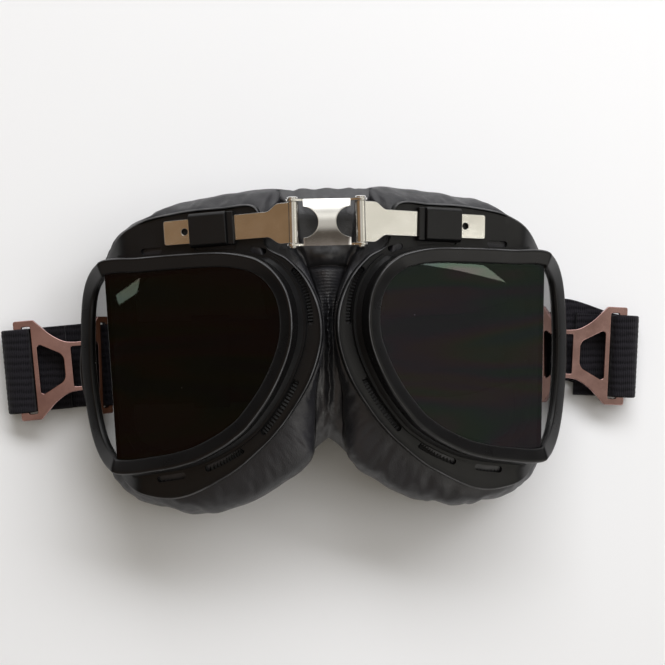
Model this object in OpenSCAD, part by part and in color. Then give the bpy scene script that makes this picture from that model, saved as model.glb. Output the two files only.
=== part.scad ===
// Folding riding goggles with split tinted lenses, lying face up on their cushion.
// X runs across the face, Y towards the brow, Z away from the face. The origin is
// the centre of the bounding box at the surface that the goggles lie on.
// Each cup is drawn once, for the +X side, in its own frame: u runs from the nose to
// the fold of the lens, v towards the brow and w out of the front lens.

/* [Lens] */
// Width of the front pane from the nose side to the fold
lens_w = 51.8; // [48:0.5:56]
// Height of the front pane at the fold
lens_h = 51.4; // [48:0.5:55]
// Angle between the front pane and the side pane
fold_angle = 44; // [38:1:48]
// Thickness of both panes
lens_t = 1.8; // [1.4:0.1:2.2]

/* [Bezel] */
// Width of the rim that shows round the lens
rim_w = 4.2; // [3.6:0.1:5]
// How far the lens lies below the crest of the rim
rim_lip = 2.2; // [1.8:0.1:2.6]
// Depth that the lens edge is held in the rim
lens_bite = 1.6; // [1.2:0.1:1.9]
// Thickness of the rubber seal behind the lens
seal_t = 0.9; // [0.6:0.1:1.2]

/* [Rear frame] */
// Thickness of the flange that the cushion is stuck to
flange_t = 2; // [1.6:0.1:2.4]
// How far the flange drops on its way round the temple
temple_drop = 10; // [9:0.5:11]
// Width of the vent slots
slot_w = 1.8; // [1.2:0.1:2.2]

/* [Stance] */
// Height of the crest of the rim above the hinge pins
rim_rise = 8.6; // [8.2:0.1:9.4]
// Distance from the middle to the nose end of each cup
cup_x = 9.6; // [9.4:0.1:11]
// Angle that each cup slopes back from the nose
slope = 18; // [16:0.5:19]
// Angle that each cup droops outwards
droop = 2.6; // [2:0.2:3]

/* [Bridge] */
// Distance from the middle to each hinge pin
pin_x = 9.45; // [9:0.05:10]
// Distance from the upper edge of the lens to the line of the bridge
bridge_gap = 11.7; // [11:0.1:12.3]
// Height of the hinge pins
pin_z = 41.4; // [41:0.1:42]
// Diameter of the hinge pins
pin_d = 1.6; // [1.2:0.1:1.8]
// Outer diameter of the rolled barrel on each arm
barrel_d = 3.2; // [3:0.1:3.6]
// Length of the barrels
barrel_l = 11.6; // [11:0.2:12.4]
// Thickness of the bridge plate and its ears
plate_t = 0.6; // [0.5:0.05:0.8]
// Half the width of the bridge plate
plate_x = 6.6; // [6:0.1:6.8]
// Radius of the round notches in the bridge plate
notch_r = 4.3; // [3.8:0.1:4.5]
// Radius that the bridge plate is crowned to
crown_r = 16; // [14:1:22]

/* [Arms] */
// Length of each arm from its pin
arm_l = 37.6; // [36:0.2:39]
// Height of the strip of each arm
arm_h = 6.8; // [6:0.1:7.2]
// Thickness of the arms
arm_t = 1; // [0.8:0.05:1.2]
// Place of the locating hole along the arm
arm_hole_x = 31.4; // [31:0.1:32]
// Diameter of the locating hole
arm_hole_d = 1.7; // [1.4:0.1:2]
// Where the keeper starts along the arm
keeper_x = 18.6; // [18:0.1:19]
// Length of the keeper along the arm
keeper_l = 10.9; // [10:0.1:11]
// Thickness of the keeper walls
keeper_wall = 1.1; // [0.9:0.1:1.4]
// Height of the keeper above the arm
keeper_top = 1.9; // [1.4:0.1:2.4]

/* [Cushion] */
// Width of the cushion rim that meets the face
pad_w = 12; // [10:0.5:13]
// Width of the cushion rim at the temple
pad_side_w = 8.6; // [8:0.2:9.5]
// Thickness of the foam lining
lining_t = 2.4; // [1.8:0.2:3]

/* [Buckles and strap] */
// Width of the elastic strap
strap_w = 25; // [24:0.5:26]
// Thickness of the elastic strap
strap_t = 1.3; // [1.1:0.05:1.4]
// Place of the strap along the face
strap_y = -3; // [-4:0.1:-2]
// Angle that the buckles and the ends of the strap lean, with the brow side outwards
strap_lean = 4; // [2:0.5:5]
// Length of each buckle from its hinge bar to the outer edge
buckle_l = 21.6; // [21:0.1:22.4]
// Thickness of the buckle plate
buckle_t = 1.4; // [1.2:0.1:1.6]
// Width of the bar that the strap loops round
loop_bar_w = 2.4; // [2:0.1:2.6]
// Width of the slot that the strap passes through
loop_slot_w = 2.6; // [2.4:0.1:2.8]
// How far the buckle hinge bar hangs below the flange
staple_drop = 2.19; // [2:0.05:2.4]
// Height of the outer bar of the buckle
bar_z = 5.53; // [5.3:0.05:5.7]
// Diameter of the wire of the hinge staple
staple_d = 1.4; // [1.2:0.1:1.6]
// Length of the strap slide along the strap
slide_l = 11; // [9:0.5:12]
// Place of the strap slide from the middle
slide_x = -34; // [-36:1:-30]

/* [Clearances] */
// Radial clearance of a pin that turns in its bore
run_fit = 0.05; // [0.03:0.01:0.08]
// Radial clearance of a pin that stays in its bore
seat_fit = 0.02; // [0.01:0.01:0.03]
// Gap between pieces that lie against each other
seat_gap = 0.05; // [0.02:0.01:0.1]
// Gap round pieces that slide
slide_gap = 0.25; // [0.2:0.05:0.35]
// Gap round soft pieces
soft_gap = 0.3; // [0.3:0.05:0.5]

/* [Hidden] */
$fn = 48;

// Shape of the cup as it is drawn below, before lens_w and lens_h scale it
drawn_w = 51.8;
drawn_h = 51.4;
scale_u = lens_w / drawn_w;
scale_v = lens_h / drawn_h;

// One row for each key point round the cup, counterclockwise from the top of the fold.
// u and v of the lens edge, u and v of the flange edge, x and y of the cushion edge,
// and the height of the cushion's face side above the table.
SHAPE = [
    [56.4, 24.0, 58.5, 31.0, 62.0, 33.0, 1.2],
    [44.5, 24.3, 47.5, 38.4, 50.0, 41.5, 0],
    [32.0, 24.3, 34.0, 40.7, 37.0, 44.0, 0],
    [20.5, 23.9, 21.5, 40.9, 26.0, 45.6, 0],
    [13.6, 22.5, 11.4, 40.2, 12.8, 46.4, 1],
    [10.4, 21.0, 9.6, 29.6, 10.5, 41.5, 3],
    [7.6, 18.4, 3.5, 25.4, 9.0, 32.0, 9],
    [5.4, 14.3, -1.6, 19.6, 5.2, 21.8, 15],
    [4.6, 8.6, -4.8, 12.0, 2.0, 13.6, 18],
    [5.4, 2.4, -5.4, 4.5, 1.3, 5.5, 19],
    [8.3, -4.4, -3.8, -2.6, 2.3, -2.5, 18],
    [12.3, -10.8, -0.4, -10.0, 4.2, -11.0, 16],
    [17.8, -17.2, 5.0, -17.6, 4.6, -21.0, 12],
    [21.2, -19.9, 9.0, -22.2, 5.4, -31.0, 8],
    [25.8, -22.6, 14.0, -26.8, 14.0, -38.0, 3],
    [33.5, -25.7, 24.5, -34.2, 24.5, -43.7, 0],
    [43.5, -27.4, 41.0, -40.3, 40.0, -46.63, 0],
    [56.4, -27.4, 57.6, -35.4, 60.5, -40.0, 1.2],
    [66.2, -19.4, 67.6, -21.0, 66.8, -24.0, 2.4],
    [70.2, -1.6, 72.4, -3.0, 66.0, -3.5, 2.4],
    [66.4, 17.0, 67.4, 19.0, 65.6, 17.5, 2.4]
];
ROWS = len(SHAPE);
STEPS = 3;
N = ROWS * STEPS;
fold_top = 0;
fold_bottom = 17 * STEPS;
fold_u = SHAPE[0][0] * scale_u;
temple_row = 19;
bridge_y = SHAPE[1][1] * scale_v + bridge_gap;

// Point on the face that the width of the cushion rim is measured towards
eye_x = 36 * scale_u;
eye_y = -1;

function mix(a, b, k) = a + (b - a) * k;
function ease(k) = let (c = min(1, max(0, k))) c * c * (3 - 2 * c);
function at(list, i) = list[(i + len(list)) % len(list)];

// A smooth curve through the rows, sampled STEPS times between each pair
function curve(a, b, c, d, t) = 0.5 * (2 * b + (c - a) * t
    + (2 * a - 5 * b + 4 * c - d) * t * t + (3 * b - a - 3 * c + d) * t * t * t);
OUTLINE = [for (i = [0 : N - 1]) let (r = floor(i / STEPS), t = (i % STEPS) / STEPS)
    curve(at(SHAPE, r - 1), at(SHAPE, r), at(SHAPE, r + 1), at(SHAPE, r + 2), t)];

lens_edge = [for (p = OUTLINE) [p[0] * scale_u, p[1] * scale_v]];
flange_edge = [for (p = OUTLINE) [p[2] * scale_u, p[3] * scale_v]];
pad_edge = [for (p = OUTLINE) [p[4] * scale_u, p[5] * scale_v]];
pad_foot = [for (p = OUTLINE) max(0, p[6])];

// How far round the temple each point is, from 0 on the front to 1 on the side
temple = [for (i = [0 : N - 1]) ease((lens_edge[i][0] - fold_u + 4) / 12)];
// How much each point belongs to the brow, where the arm lies along the flange
brow = [for (i = [0 : N - 1]) ease((flange_edge[i][1] - 30 * scale_v) / 8)];

// Outward direction of the lens edge, kept straight at the two ends of the fold
function outward(i) = i == fold_top ? [0, 1] : i == fold_bottom ? [0, -1]
    : let (t = at(lens_edge, i + 1) - at(lens_edge, i - 1)) [t[1], -t[0]] / norm(t);
function out_from(i, d) = lens_edge[i] + outward(i) * d;

// Bends a point of the flat pattern over the fold, h above the sheet
function bend(q, h) = let (t = h * tan(fold_angle / 2))
    abs(q[0] - fold_u) < 0.01 ? [fold_u + t, q[1], h]
    : q[0] < fold_u ? [min(q[0], fold_u + t), q[1], h]
    : let (s = max(q[0] - fold_u, -t))
        [fold_u + s * cos(fold_angle) + h * sin(fold_angle), q[1],
         h * cos(fold_angle) - s * sin(fold_angle)];
function ring(d, h) = [for (i = [0 : N - 1]) bend(out_from(i, d), h)];

// Closed ring of quads between loops of equal length, and back to the first loop
module loft(loops) {
    n = len(loops[0]);
    m = len(loops);
    pts = [for (l = loops) for (p = l) p];
    tris = [for (j = [0 : m - 1]) for (i = [0 : n - 1])
        let (a = j * n + i, b = j * n + (i + 1) % n,
             c = ((j + 1) % m) * n + (i + 1) % n, d = ((j + 1) % m) * n + i)
        each [[a, c, b], [a, d, c]]];
    polyhedron(points = pts, faces = tris, convexity = 8);
}

// Height of the crest of the rim at the nose
crest_z = pin_z + rim_rise;

// Frame of the cup, and the same change of place for single points
module cup_frame() {
    translate([cup_x, 1.2, crest_z]) rotate([0, slope, 0]) rotate([0, 0, -droop]) children();
}
function spin_z(p, a) = [p[0] * cos(a) - p[1] * sin(a), p[0] * sin(a) + p[1] * cos(a), p[2]];
function spin_y(p, a) = [p[0] * cos(a) + p[2] * sin(a), p[1], p[2] * cos(a) - p[0] * sin(a)];
function placed(p) = spin_y(spin_z(p, -droop), slope) + [cup_x, 1.2, crest_z];
function in_cup(p) = spin_z(spin_y(p - [cup_x, 1.2, crest_z], -slope), droop);

// Gap round the edge of the lens in the groove of the rim
edge_gap = 0.25;

// Heights in the cup frame
pin_place = in_cup([pin_x, bridge_y, pin_z]);
arm_top = pin_place[2] + barrel_d / 2;
flange_top = arm_top - arm_t - slide_gap;
lens_top = -rim_lip - seat_gap;
seal_top = lens_top - lens_t - seat_gap;
rim_foot = seal_top - seal_t - seat_gap;
wall_top = rim_foot - seat_gap;
foot_d = rim_w + 1.7;
foot_brow_d = rim_w + 0.7;
foot_temple_d = rim_w + 1;

// Where the flange starts to drop, and the length that it drops over
drop_start = 50 * scale_u;
drop_l = 18 * scale_u;
function flange_w(u) = flange_top - temple_drop * ease((u - drop_start) / drop_l);

// Loops of the rear frame
wall_in = ring(0.3, wall_top);
wall_out = ring(rim_w, wall_top);
wall_foot = [for (i = [0 : N - 1])
    let (d = mix(mix(foot_d, foot_brow_d, brow[i]), foot_temple_d, temple[i]),
         p = bend(out_from(i, d), mix(flange_top, wall_top - 1.5, temple[i])))
    [p[0], p[1], flange_w(p[0])]];
flange_out = [for (p = flange_edge) [p[0], p[1], flange_w(p[0])]];
flange_under = [for (p = flange_out) p - [0, 0, flange_t]];
frame_in = [for (i = [0 : N - 1]) let (p = bend(out_from(i, 1), wall_top - 2))
    [p[0], p[1], flange_w(p[0]) - flange_t]];

// Vent slots: first point, last point, as places round the outline
SLOTS = [[2.2, 3.1], [3.85, 4.36], [6.2, 8.2], [10.2, 12.1], [13.6, 14.9], [15.6, 16.2], [0.9, 1.3]];
slot_d = foot_d + 1.05;
slot_brow_d = foot_brow_d + 1.1;
slot_points = 6;
function between(list, k) = let (i = floor(k)) mix(at(list, i), at(list, i + 1), k - i);
away = [for (i = [0 : N - 1]) outward(i)];
function slot_side(s, off) = [for (j = [0 : slot_points])
    let (k = mix(s[0], s[1], j / slot_points) * STEPS,
         d = mix(slot_d, slot_brow_d, between(brow, k)) + off)
    between(lens_edge, k) + between(away, k) * d];
module vent_slot(s) {
    near = slot_side(s, -slot_w / 2);
    far = slot_side(s, slot_w / 2);
    translate([0, 0, flange_top - flange_t - 1]) linear_extrude(flange_t + 2.4)
        polygon(concat(near, [for (j = [slot_points : -1 : 0]) far[j]]));
}

// Place of the buckle hinge, under the edge of the flange at the temple
temple_under = placed(flange_under[temple_row * STEPS]);
hinge_x = temple_under[0] - 1.9;
hinge_z = temple_under[2] - staple_drop;
staple_half = 5.2;
staple_leg = staple_drop + flange_t;
strip_w = 1.5;
slot_back = staple_d / 2 + 0.5;
slot_front = 5;
neck_half = 7.3;
slot_half = neck_half - 1.3;
module at_hinge(z) {
    translate([hinge_x, strap_y, z]) rotate([0, 0, -strap_lean]) children();
}

module rear_frame() {
    color([0.07, 0.07, 0.07]) difference() {
        cup_frame() difference() {
            loft([wall_in, wall_out, wall_foot, flange_out, flange_under, frame_in]);
            for (s = SLOTS) vent_slot(s);
        }
        at_hinge(hinge_z) for (s = [-1, 1]) translate([0, s * staple_half, 0])
            cylinder(d = staple_d + 2 * seat_fit, h = staple_leg + flange_t);
    }
}

// Wire staple that carries the buckle
module staple() {
    color("silver") at_hinge(hinge_z) {
        translate([0, staple_half, 0]) rotate([90, 0, 0]) cylinder(d = staple_d, h = 2 * staple_half);
        for (s = [-1, 1]) translate([0, s * staple_half, 0]) {
            sphere(d = staple_d);
            cylinder(d = staple_d, h = staple_leg);
        }
    }
}

module bezel() {
    rim = [
        [0, -1.6], [0.5, -1.1], [rim_w - 1.1, -0.1], [rim_w - 0.5, -0.05], [rim_w, -0.8],
        [rim_w, rim_foot], [lens_bite + edge_gap, rim_foot],
        [lens_bite + edge_gap, -rim_lip], [0, -rim_lip]
    ];
    color([0.08, 0.08, 0.08]) cup_frame() loft([for (p = rim) ring(p[0], p[1])]);
}

module lens_seal() {
    back = seal_top - seal_t;
    band = [[0.3, seal_top], [lens_bite, seal_top], [lens_bite, back], [0.3, back]];
    color([0.04, 0.04, 0.04]) cup_frame() loft([for (p = band) ring(p[0], p[1])]);
}

// Half of space on the front side of the fold, up to the mitre between the panes
module mitre(side) {
    reach = 200;
    translate([fold_u, 0, 0]) rotate([0, fold_angle / 2, 0])
        translate([side > 0 ? seat_gap / 2 : -reach - seat_gap / 2, -reach / 2, -reach / 2])
            cube(reach);
}
module front_lens() {
    pane = [for (i = [fold_top : fold_bottom]) out_from(i, lens_bite)];
    overlap = [[fold_u + 3, pane[len(pane) - 1][1]], [fold_u + 3, pane[0][1]]];
    color([0.05, 0.05, 0.05]) cup_frame() intersection() {
        translate([0, 0, lens_top - lens_t]) linear_extrude(lens_t) polygon(concat(pane, overlap));
        mitre(-1);
    }
}
module side_lens() {
    pane = [for (i = [fold_bottom : N]) out_from(i % N, lens_bite) - [fold_u, 0]];
    overlap = [[-3, pane[len(pane) - 1][1]], [-3, pane[0][1]]];
    color([0.05, 0.05, 0.05]) cup_frame() intersection() {
        translate([fold_u, 0, 0]) rotate([0, fold_angle, 0])
            translate([0, 0, lens_top - lens_t]) linear_extrude(lens_t) polygon(concat(pane, overlap));
        mitre(1);
    }
}

// Cushion: from under the flange, out over the edge, down to the face and back inside
function pad_in(i, w) = let (c = pad_edge[i], e = [eye_x, eye_y] - c) c + e / norm(e) * w;
function rim_width(i) = mix(pad_w, pad_side_w, temple[i]);
// The gap grows towards the temple, where the flange slopes over the cushion
widen_start = 46 * scale_u;
widen_l = 8 * scale_u;
function pad_gap(i) = mix(soft_gap, 1.1, ease((flange_edge[i][0] - widen_start) / widen_l));
pad_top_out = [for (i = [0 : N - 1])
    placed(mix(flange_under[i], frame_in[i], mix(0.1, 0.55, temple[i])) - [0, 0, pad_gap(i)])];
pad_top_in = [for (i = [0 : N - 1])
    placed(mix(flange_under[i], frame_in[i], 0.92) - [0, 0, pad_gap(i)])];
function pad_point(i, across, up) =
    let (q = pad_in(i, rim_width(i) * across)) [q[0], q[1], mix(pad_foot[i], pad_top_out[i][2], up)];
pad_shoulder = [for (i = [0 : N - 1])
    let (t = pad_top_out[i], q = pad_edge[i], edge_z = min(t[2], placed(flange_under[i])[2]))
    [mix(t[0], q[0], 0.85), mix(t[1], q[1], 0.85), mix(edge_z, pad_foot[i], 0.16)]];
pad_side = [for (i = [0 : N - 1]) pad_point(i, 0, 0.5)];
pad_heel = [for (i = [0 : N - 1]) pad_point(i, 0.08, 0.16)];
pad_face_out = [for (i = [0 : N - 1]) pad_point(i, 0.3, 0)];
pad_face_in = [for (i = [0 : N - 1]) pad_point(i, 0.75, 0)];
pad_inner = [for (i = [0 : N - 1]) pad_point(i, 0.98, 0.2)];

module cushion() {
    outside = [pad_top_in, pad_top_out, pad_shoulder, pad_side];
    color([0.09, 0.09, 0.1]) loft(concat(outside, [pad_heel, pad_face_out, pad_face_in, pad_inner]));
}

// Foam ring inside the cushion, between the frame and the face, and its gap to the cushion
lining_gap = 3.8 * soft_gap;
function toward_eye(p, w) = let (e = [eye_x, eye_y] - [p[0], p[1]], k = w / norm(e))
    [p[0] + e[0] * k, p[1] + e[1] * k, p[2]];
module foam_lining() {
    function wall(k) = [for (i = [0 : N - 1]) toward_eye(mix(pad_top_in[i], pad_inner[i], k), lining_gap)];
    function inside(loop) = [for (p = loop) toward_eye(p, lining_t)];
    color([0.05, 0.05, 0.05]) loft([inside(wall(0.05)), wall(0.05), wall(0.97), inside(wall(0.97))]);
}

// Arm: a strip with a flared end rolled round the pin
flare_h = barrel_l - 0.4;
flare_x = 3.3;
neck_x = 7.2;
corner_r = 0.6;
module arm_frame() {
    translate([pin_x, bridge_y, pin_z]) rotate([0, slope, 0]) rotate([0, 0, -droop]) children();
}
function flare(t) = mix(flare_h / 2, arm_h / 2 + 0.15, 0.5 - 0.5 * cos(180 * t));
module arm() {
    steps = 8;
    upper = concat([[0, flare_h / 2]],
        [for (j = [0 : steps]) [mix(flare_x, neck_x, j / steps), flare(j / steps)]],
        [[arm_l - corner_r, arm_h / 2], [arm_l, arm_h / 2 - corner_r]]);
    lower = [for (j = [len(upper) - 1 : -1 : 0]) [upper[j][0], -upper[j][1]]];
    color([0.75, 0.72, 0.68]) difference() {
        union() {
            arm_frame() difference() {
                translate([0, 0, barrel_d / 2 - arm_t]) linear_extrude(arm_t)
                    polygon(concat(upper, lower));
                translate([arm_hole_x, 0, 0]) cylinder(d = arm_hole_d, h = barrel_d);
            }
            translate([pin_x, bridge_y + barrel_l / 2, pin_z]) rotate([90, 0, 0])
                cylinder(d = barrel_d, h = barrel_l);
        }
        translate([pin_x, bridge_y + barrel_l, pin_z]) rotate([90, 0, 0])
            cylinder(d = pin_d + 2 * run_fit, h = 2 * barrel_l);
    }
}

// Keeper: a guide on the flange that the arm slides in
module keeper() {
    inner_h = arm_h + 2 * slide_gap;
    outer_h = inner_h + 2 * keeper_wall;
    seat = barrel_d / 2 - arm_t - slide_gap + seat_gap;
    guide_top = barrel_d / 2 + slide_gap;
    top = barrel_d / 2 + keeper_top;
    bevel = 0.7;
    color([0.06, 0.06, 0.06]) arm_frame() {
        translate([keeper_x, 0, 0]) difference() {
            rotate([90, 0, 90]) linear_extrude(keeper_l) polygon([
                [-outer_h / 2, seat], [outer_h / 2, seat], [outer_h / 2, top - bevel],
                [outer_h / 2 - bevel, top], [bevel - outer_h / 2, top], [-outer_h / 2, top - bevel]
            ]);
            translate([-1, -inner_h / 2, seat - 1]) cube([keeper_l + 2, inner_h, guide_top - seat + 1]);
        }
    }
}

// Bridge plate: crowned web between two ears that carry the pins
ear_gap = barrel_l / 2 + 0.1;
ear_r = 2;
module nose_plate() {
    half_h = ear_gap + plate_t;
    crest = pin_z + barrel_d / 2 + 0.5;
    color([0.8, 0.8, 0.8]) translate([0, bridge_y, 0]) {
        intersection() {
            translate([0, 0, crest - 3]) linear_extrude(3.1) difference() {
                square([2 * plate_x, 2 * half_h], center = true);
                for (s = [-1, 1]) translate([s * (plate_x + 0.2), 0]) circle(r = notch_r);
            }
            translate([-plate_x - 1, 0, crest - crown_r]) rotate([0, 90, 0]) difference() {
                cylinder(r = crown_r, h = 2 * plate_x + 2, $fn = 96);
                translate([0, 0, -1]) cylinder(r = crown_r - plate_t, h = 2 * plate_x + 4, $fn = 96);
            }
        }
        for (s = [-1, 1]) ear(s);
    }
}
module ear(s) {
    y = s > 0 ? ear_gap + plate_t : -ear_gap;
    edge_z = pin_z + 1.15;
    translate([0, y, 0]) rotate([90, 0, 0]) linear_extrude(plate_t) difference() {
        union() {
            translate([-plate_x, pin_z - 1.4]) square([2 * plate_x, edge_z - pin_z + 1.4]);
            for (k = [-1, 1]) {
                translate([k > 0 ? plate_x - 1 : -pin_x, pin_z - 1.4])
                    square([pin_x - plate_x + 1, edge_z - pin_z + 1.4]);
                translate([k * pin_x, pin_z]) circle(r = ear_r);
            }
        }
        for (k = [-1, 1]) translate([k * pin_x, pin_z]) circle(d = pin_d + 2 * seat_fit);
    }
}

module hinge_pin() {
    shank = 2 * (ear_gap + plate_t) + 2 * seat_gap;
    head_t = 0.7;
    color("silver") translate([pin_x, bridge_y, pin_z]) rotate([90, 0, 0]) {
        cylinder(d = pin_d, h = shank + 2 * head_t, center = true);
        translate([0, 0, -shank / 2 - head_t]) cylinder(d = barrel_d + 0.1, h = head_t);
        translate([0, 0, shank / 2]) cylinder(d = pin_d + 0.8, h = head_t);
    }
}

// Leather over the nose: a saddle between the two cushions, kept clear of both
// Place along the face, half the width, and depth below the hinge pins
NOSE = [
    [46.0, 10.2, 14.4], [41.0, 9.6, 10.4], [35.0, 8.2, 7.4], [29.0, 6.9, 6.9], [23.0, 4.7, 7.4],
    [17.0, 2.5, 7.9], [10.0, 0.95, 8.4], [3.0, 0.8, 8.9], [-4.0, 1.6, 9.9], [-11.0, 3.2, 11.4],
    [-18.0, 3.6, 13.9], [-25.0, 3.4, 17.4], [-28.5, 3.2, 21.4]
];
nose_t = 5;
module nose_leather() {
    cols = 6;
    m = len(NOSE);
    function top(k, s) = let (r = NOSE[k])
        [r[1] * s, r[0] * scale_v, pin_z - r[2] - 1.2 * (1 - s * s) * (r[0] < 30 ? 1 : 0.3)];
    upper = [for (k = [0 : m - 1]) for (j = [0 : cols]) top(k, -1 + 2 * j / cols)];
    lower = [for (p = upper) p - [0, 0, nose_t]];
    w = cols + 1;
    base = len(upper);
    cells = [for (k = [0 : m - 2]) for (j = [0 : cols - 1]) k * w + j];
    rim = concat([for (j = [0 : cols]) j], [for (k = [1 : m - 1]) k * w + cols],
        [for (j = [cols - 1 : -1 : 0]) (m - 1) * w + j], [for (k = [m - 2 : -1 : 1]) k * w]);
    color([0.09, 0.09, 0.1]) polyhedron(points = concat(upper, lower), faces = concat(
        [for (c = cells) each [[c, c + 1, c + w + 1], [c, c + w + 1, c + w]]],
        [for (c = cells) let (b = base + c) each [[b, b + w + 1, b + 1], [b, b + w, b + w + 1]]],
        [for (i = [0 : len(rim) - 1]) let (a = rim[i], b = at(rim, i + 1))
            each [[a, base + a, base + b], [a, base + b, b]]]
    ), convexity = 6);
}

// Buckle: flat plate with a slot for the staple, a window, and the slot and bar for the strap
bar_out = buckle_l;
bar_in = bar_out - loop_bar_w;
loop_in = bar_in - loop_slot_w;
shoulder_half = strap_w / 2 + 2.4;
loop_half = strap_w / 2 + 0.5;
plate_back = -slot_back - strip_w;
buckle_tilt = asin((hinge_z - bar_z) / (bar_in + loop_bar_w / 2));
module buckle() {
    half = [
        [plate_back, neck_half], [slot_front + 1.8, neck_half + 0.5],
        [slot_front + 5.4, neck_half + 2.6], [loop_in - 3.2, shoulder_half - 2.2],
        [loop_in - 1, shoulder_half], [bar_out - 1, shoulder_half], [bar_out, shoulder_half - 1]
    ];
    window = [
        [slot_front + 2.4, 2.8], [slot_front + 3.2, 4.2], [loop_in - 2.4, 7.4], [loop_in - 1.5, 6.9]
    ];
    color([0.62, 0.5, 0.46]) at_hinge(hinge_z) rotate([0, buckle_tilt, 0])
        translate([0, 0, -buckle_t / 2]) linear_extrude(buckle_t) difference() {
            polygon(mirrored(half));
            polygon(mirrored(window));
            translate([-slot_back, -slot_half]) square([slot_back + slot_front, 2 * slot_half]);
            translate([loop_in, -loop_half]) square([loop_slot_w, 2 * loop_half]);
        }
}
function mirrored(p) = concat(p, [for (i = [len(p) - 1 : -1 : 0]) [p[i][0], -p[i][1]]]);

// Strap: a flat band as wide as the strap, along a path of x and z
function path_normal(p, i) = let (a = p[max(0, i - 1)], b = p[min(len(p) - 1, i + 1)], t = b - a)
    [-t[1], t[0]] / norm(t);
function band_outline(p, t) = concat(
    [for (i = [0 : len(p) - 1]) p[i] + path_normal(p, i) * t / 2],
    [for (i = [len(p) - 1 : -1 : 0]) p[i] - path_normal(p, i) * t / 2]);
module band(path, t) {
    translate([0, strap_w / 2, 0]) rotate([90, 0, 0]) linear_extrude(strap_w)
        polygon(band_outline(path, t));
}

table_gap = 0.05;
flat_z = table_gap + strap_t / 2;
slot_mid = (loop_in + loop_slot_w / 2) * cos(buckle_tilt);
loop_top = bar_z + buckle_t / 2 + soft_gap + strap_t / 2 + 0.3;
loop_end = bar_out * cos(buckle_tilt) + 3.4;
band_over = 0.6;
band_end = hinge_x + band_over;
loop_start = band_over + 0.1 + strap_w / 2 * tan(strap_lean);
// Where the free tail of the strap lies flat, and where it ends
tail_flat = 4;
tail_end = 11;
module strap_loop() {
    turn = 8;
    fold_c = [loop_end - (loop_top - flat_z) / 2, (loop_top + flat_z) / 2];
    fold_r = (loop_top - flat_z) / 2;
    path = concat(
        [[loop_start, flat_z], [slot_mid - 6, flat_z]],
        [for (j = [0 : turn]) fold_c + fold_r * [cos(-90 + 180 * j / turn), sin(-90 + 180 * j / turn)]],
        [[slot_mid + 1.5, loop_top], [slot_mid + 0.35, loop_top - 0.5], [slot_mid, loop_top - 1.6],
         [slot_mid - 0.1, bar_z - 1.2], [slot_mid - 0.9, flat_z + strap_t + 1.6],
         [slot_mid - 2.2, flat_z + strap_t + 0.5], [slot_mid - tail_flat, flat_z + strap_t + 0.1],
         [slot_mid - tail_end, flat_z + strap_t + 0.1]]);
    color([0.05, 0.05, 0.05]) at_hinge(0) band(path, strap_t);
}

// Bottom wall of the slide, which lifts the middle of the band off the table
slide_wall = 0.9;
lift_z = table_gap + slide_wall + 0.25 + strap_t / 2;
module strap_band() {
    rise_out = 54 * scale_u;
    rise_in = 48 * scale_u;
    rise = mix([rise_in, lift_z], [rise_out, flat_z], 0.5);
    half = [[rise_in, lift_z], rise, [rise_out, flat_z], [band_end, flat_z]];
    path = concat([for (i = [len(half) - 1 : -1 : 0]) [-half[i][0], half[i][1]]], half);
    color([0.05, 0.05, 0.05]) translate([0, strap_y, 0]) band(path, strap_t);
}
module strap_slide() {
    inner_h = strap_t + 2 * slide_gap;
    inner_w = strap_w + 2 * slide_gap;
    outer_h = inner_h + 2 * slide_wall;
    color([0.06, 0.06, 0.06]) translate([slide_x, strap_y, lift_z]) rotate([90, 0, 90])
        translate([0, 0, -slide_l / 2]) linear_extrude(slide_l) difference() {
            square([inner_w + 2.4, outer_h], center = true);
            square([inner_w, inner_h], center = true);
        }
}

module other_side() { mirror([1, 0, 0]) children(); }

nose_plate();
other_side() hinge_pin();  // left_hinge_pin
hinge_pin();  // right_hinge_pin
nose_leather();
other_side() arm();  // left_arm
arm();  // right_arm
other_side() keeper();  // left_keeper
keeper();  // right_keeper
other_side() rear_frame();  // left_rear_frame
rear_frame();  // right_rear_frame
other_side() bezel();  // left_bezel
bezel();  // right_bezel
other_side() front_lens();  // left_front_lens
front_lens();  // right_front_lens
other_side() side_lens();  // left_side_lens
side_lens();  // right_side_lens
other_side() lens_seal();  // left_lens_seal
lens_seal();  // right_lens_seal
other_side() cushion();  // left_cushion
cushion();  // right_cushion
other_side() foam_lining();  // left_foam_lining
foam_lining();  // right_foam_lining
other_side() staple();  // left_staple
staple();  // right_staple
other_side() buckle();  // left_buckle
buckle();  // right_buckle
other_side() strap_loop();  // left_strap_loop
strap_loop();  // right_strap_loop
strap_band();
strap_slide();
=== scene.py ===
import math

import bpy
import bmesh
import numpy as np
from mathutils import Matrix, Vector


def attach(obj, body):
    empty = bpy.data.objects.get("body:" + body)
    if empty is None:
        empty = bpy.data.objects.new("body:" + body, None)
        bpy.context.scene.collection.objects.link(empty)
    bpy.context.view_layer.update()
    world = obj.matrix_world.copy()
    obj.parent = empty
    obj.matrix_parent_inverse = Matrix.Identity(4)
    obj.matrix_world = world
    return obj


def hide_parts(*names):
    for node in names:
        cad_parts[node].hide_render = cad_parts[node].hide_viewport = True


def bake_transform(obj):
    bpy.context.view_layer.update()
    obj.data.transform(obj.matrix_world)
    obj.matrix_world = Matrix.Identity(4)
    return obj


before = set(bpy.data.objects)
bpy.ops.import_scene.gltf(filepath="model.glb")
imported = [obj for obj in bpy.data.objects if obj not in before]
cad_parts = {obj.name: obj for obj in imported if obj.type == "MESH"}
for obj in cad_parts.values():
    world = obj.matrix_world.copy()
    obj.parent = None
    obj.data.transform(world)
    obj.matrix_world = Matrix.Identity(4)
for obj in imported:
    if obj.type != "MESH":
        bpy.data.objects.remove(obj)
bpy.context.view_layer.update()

MM = 0.001
WAVE = 2 * math.pi
scene = bpy.context.scene


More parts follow.
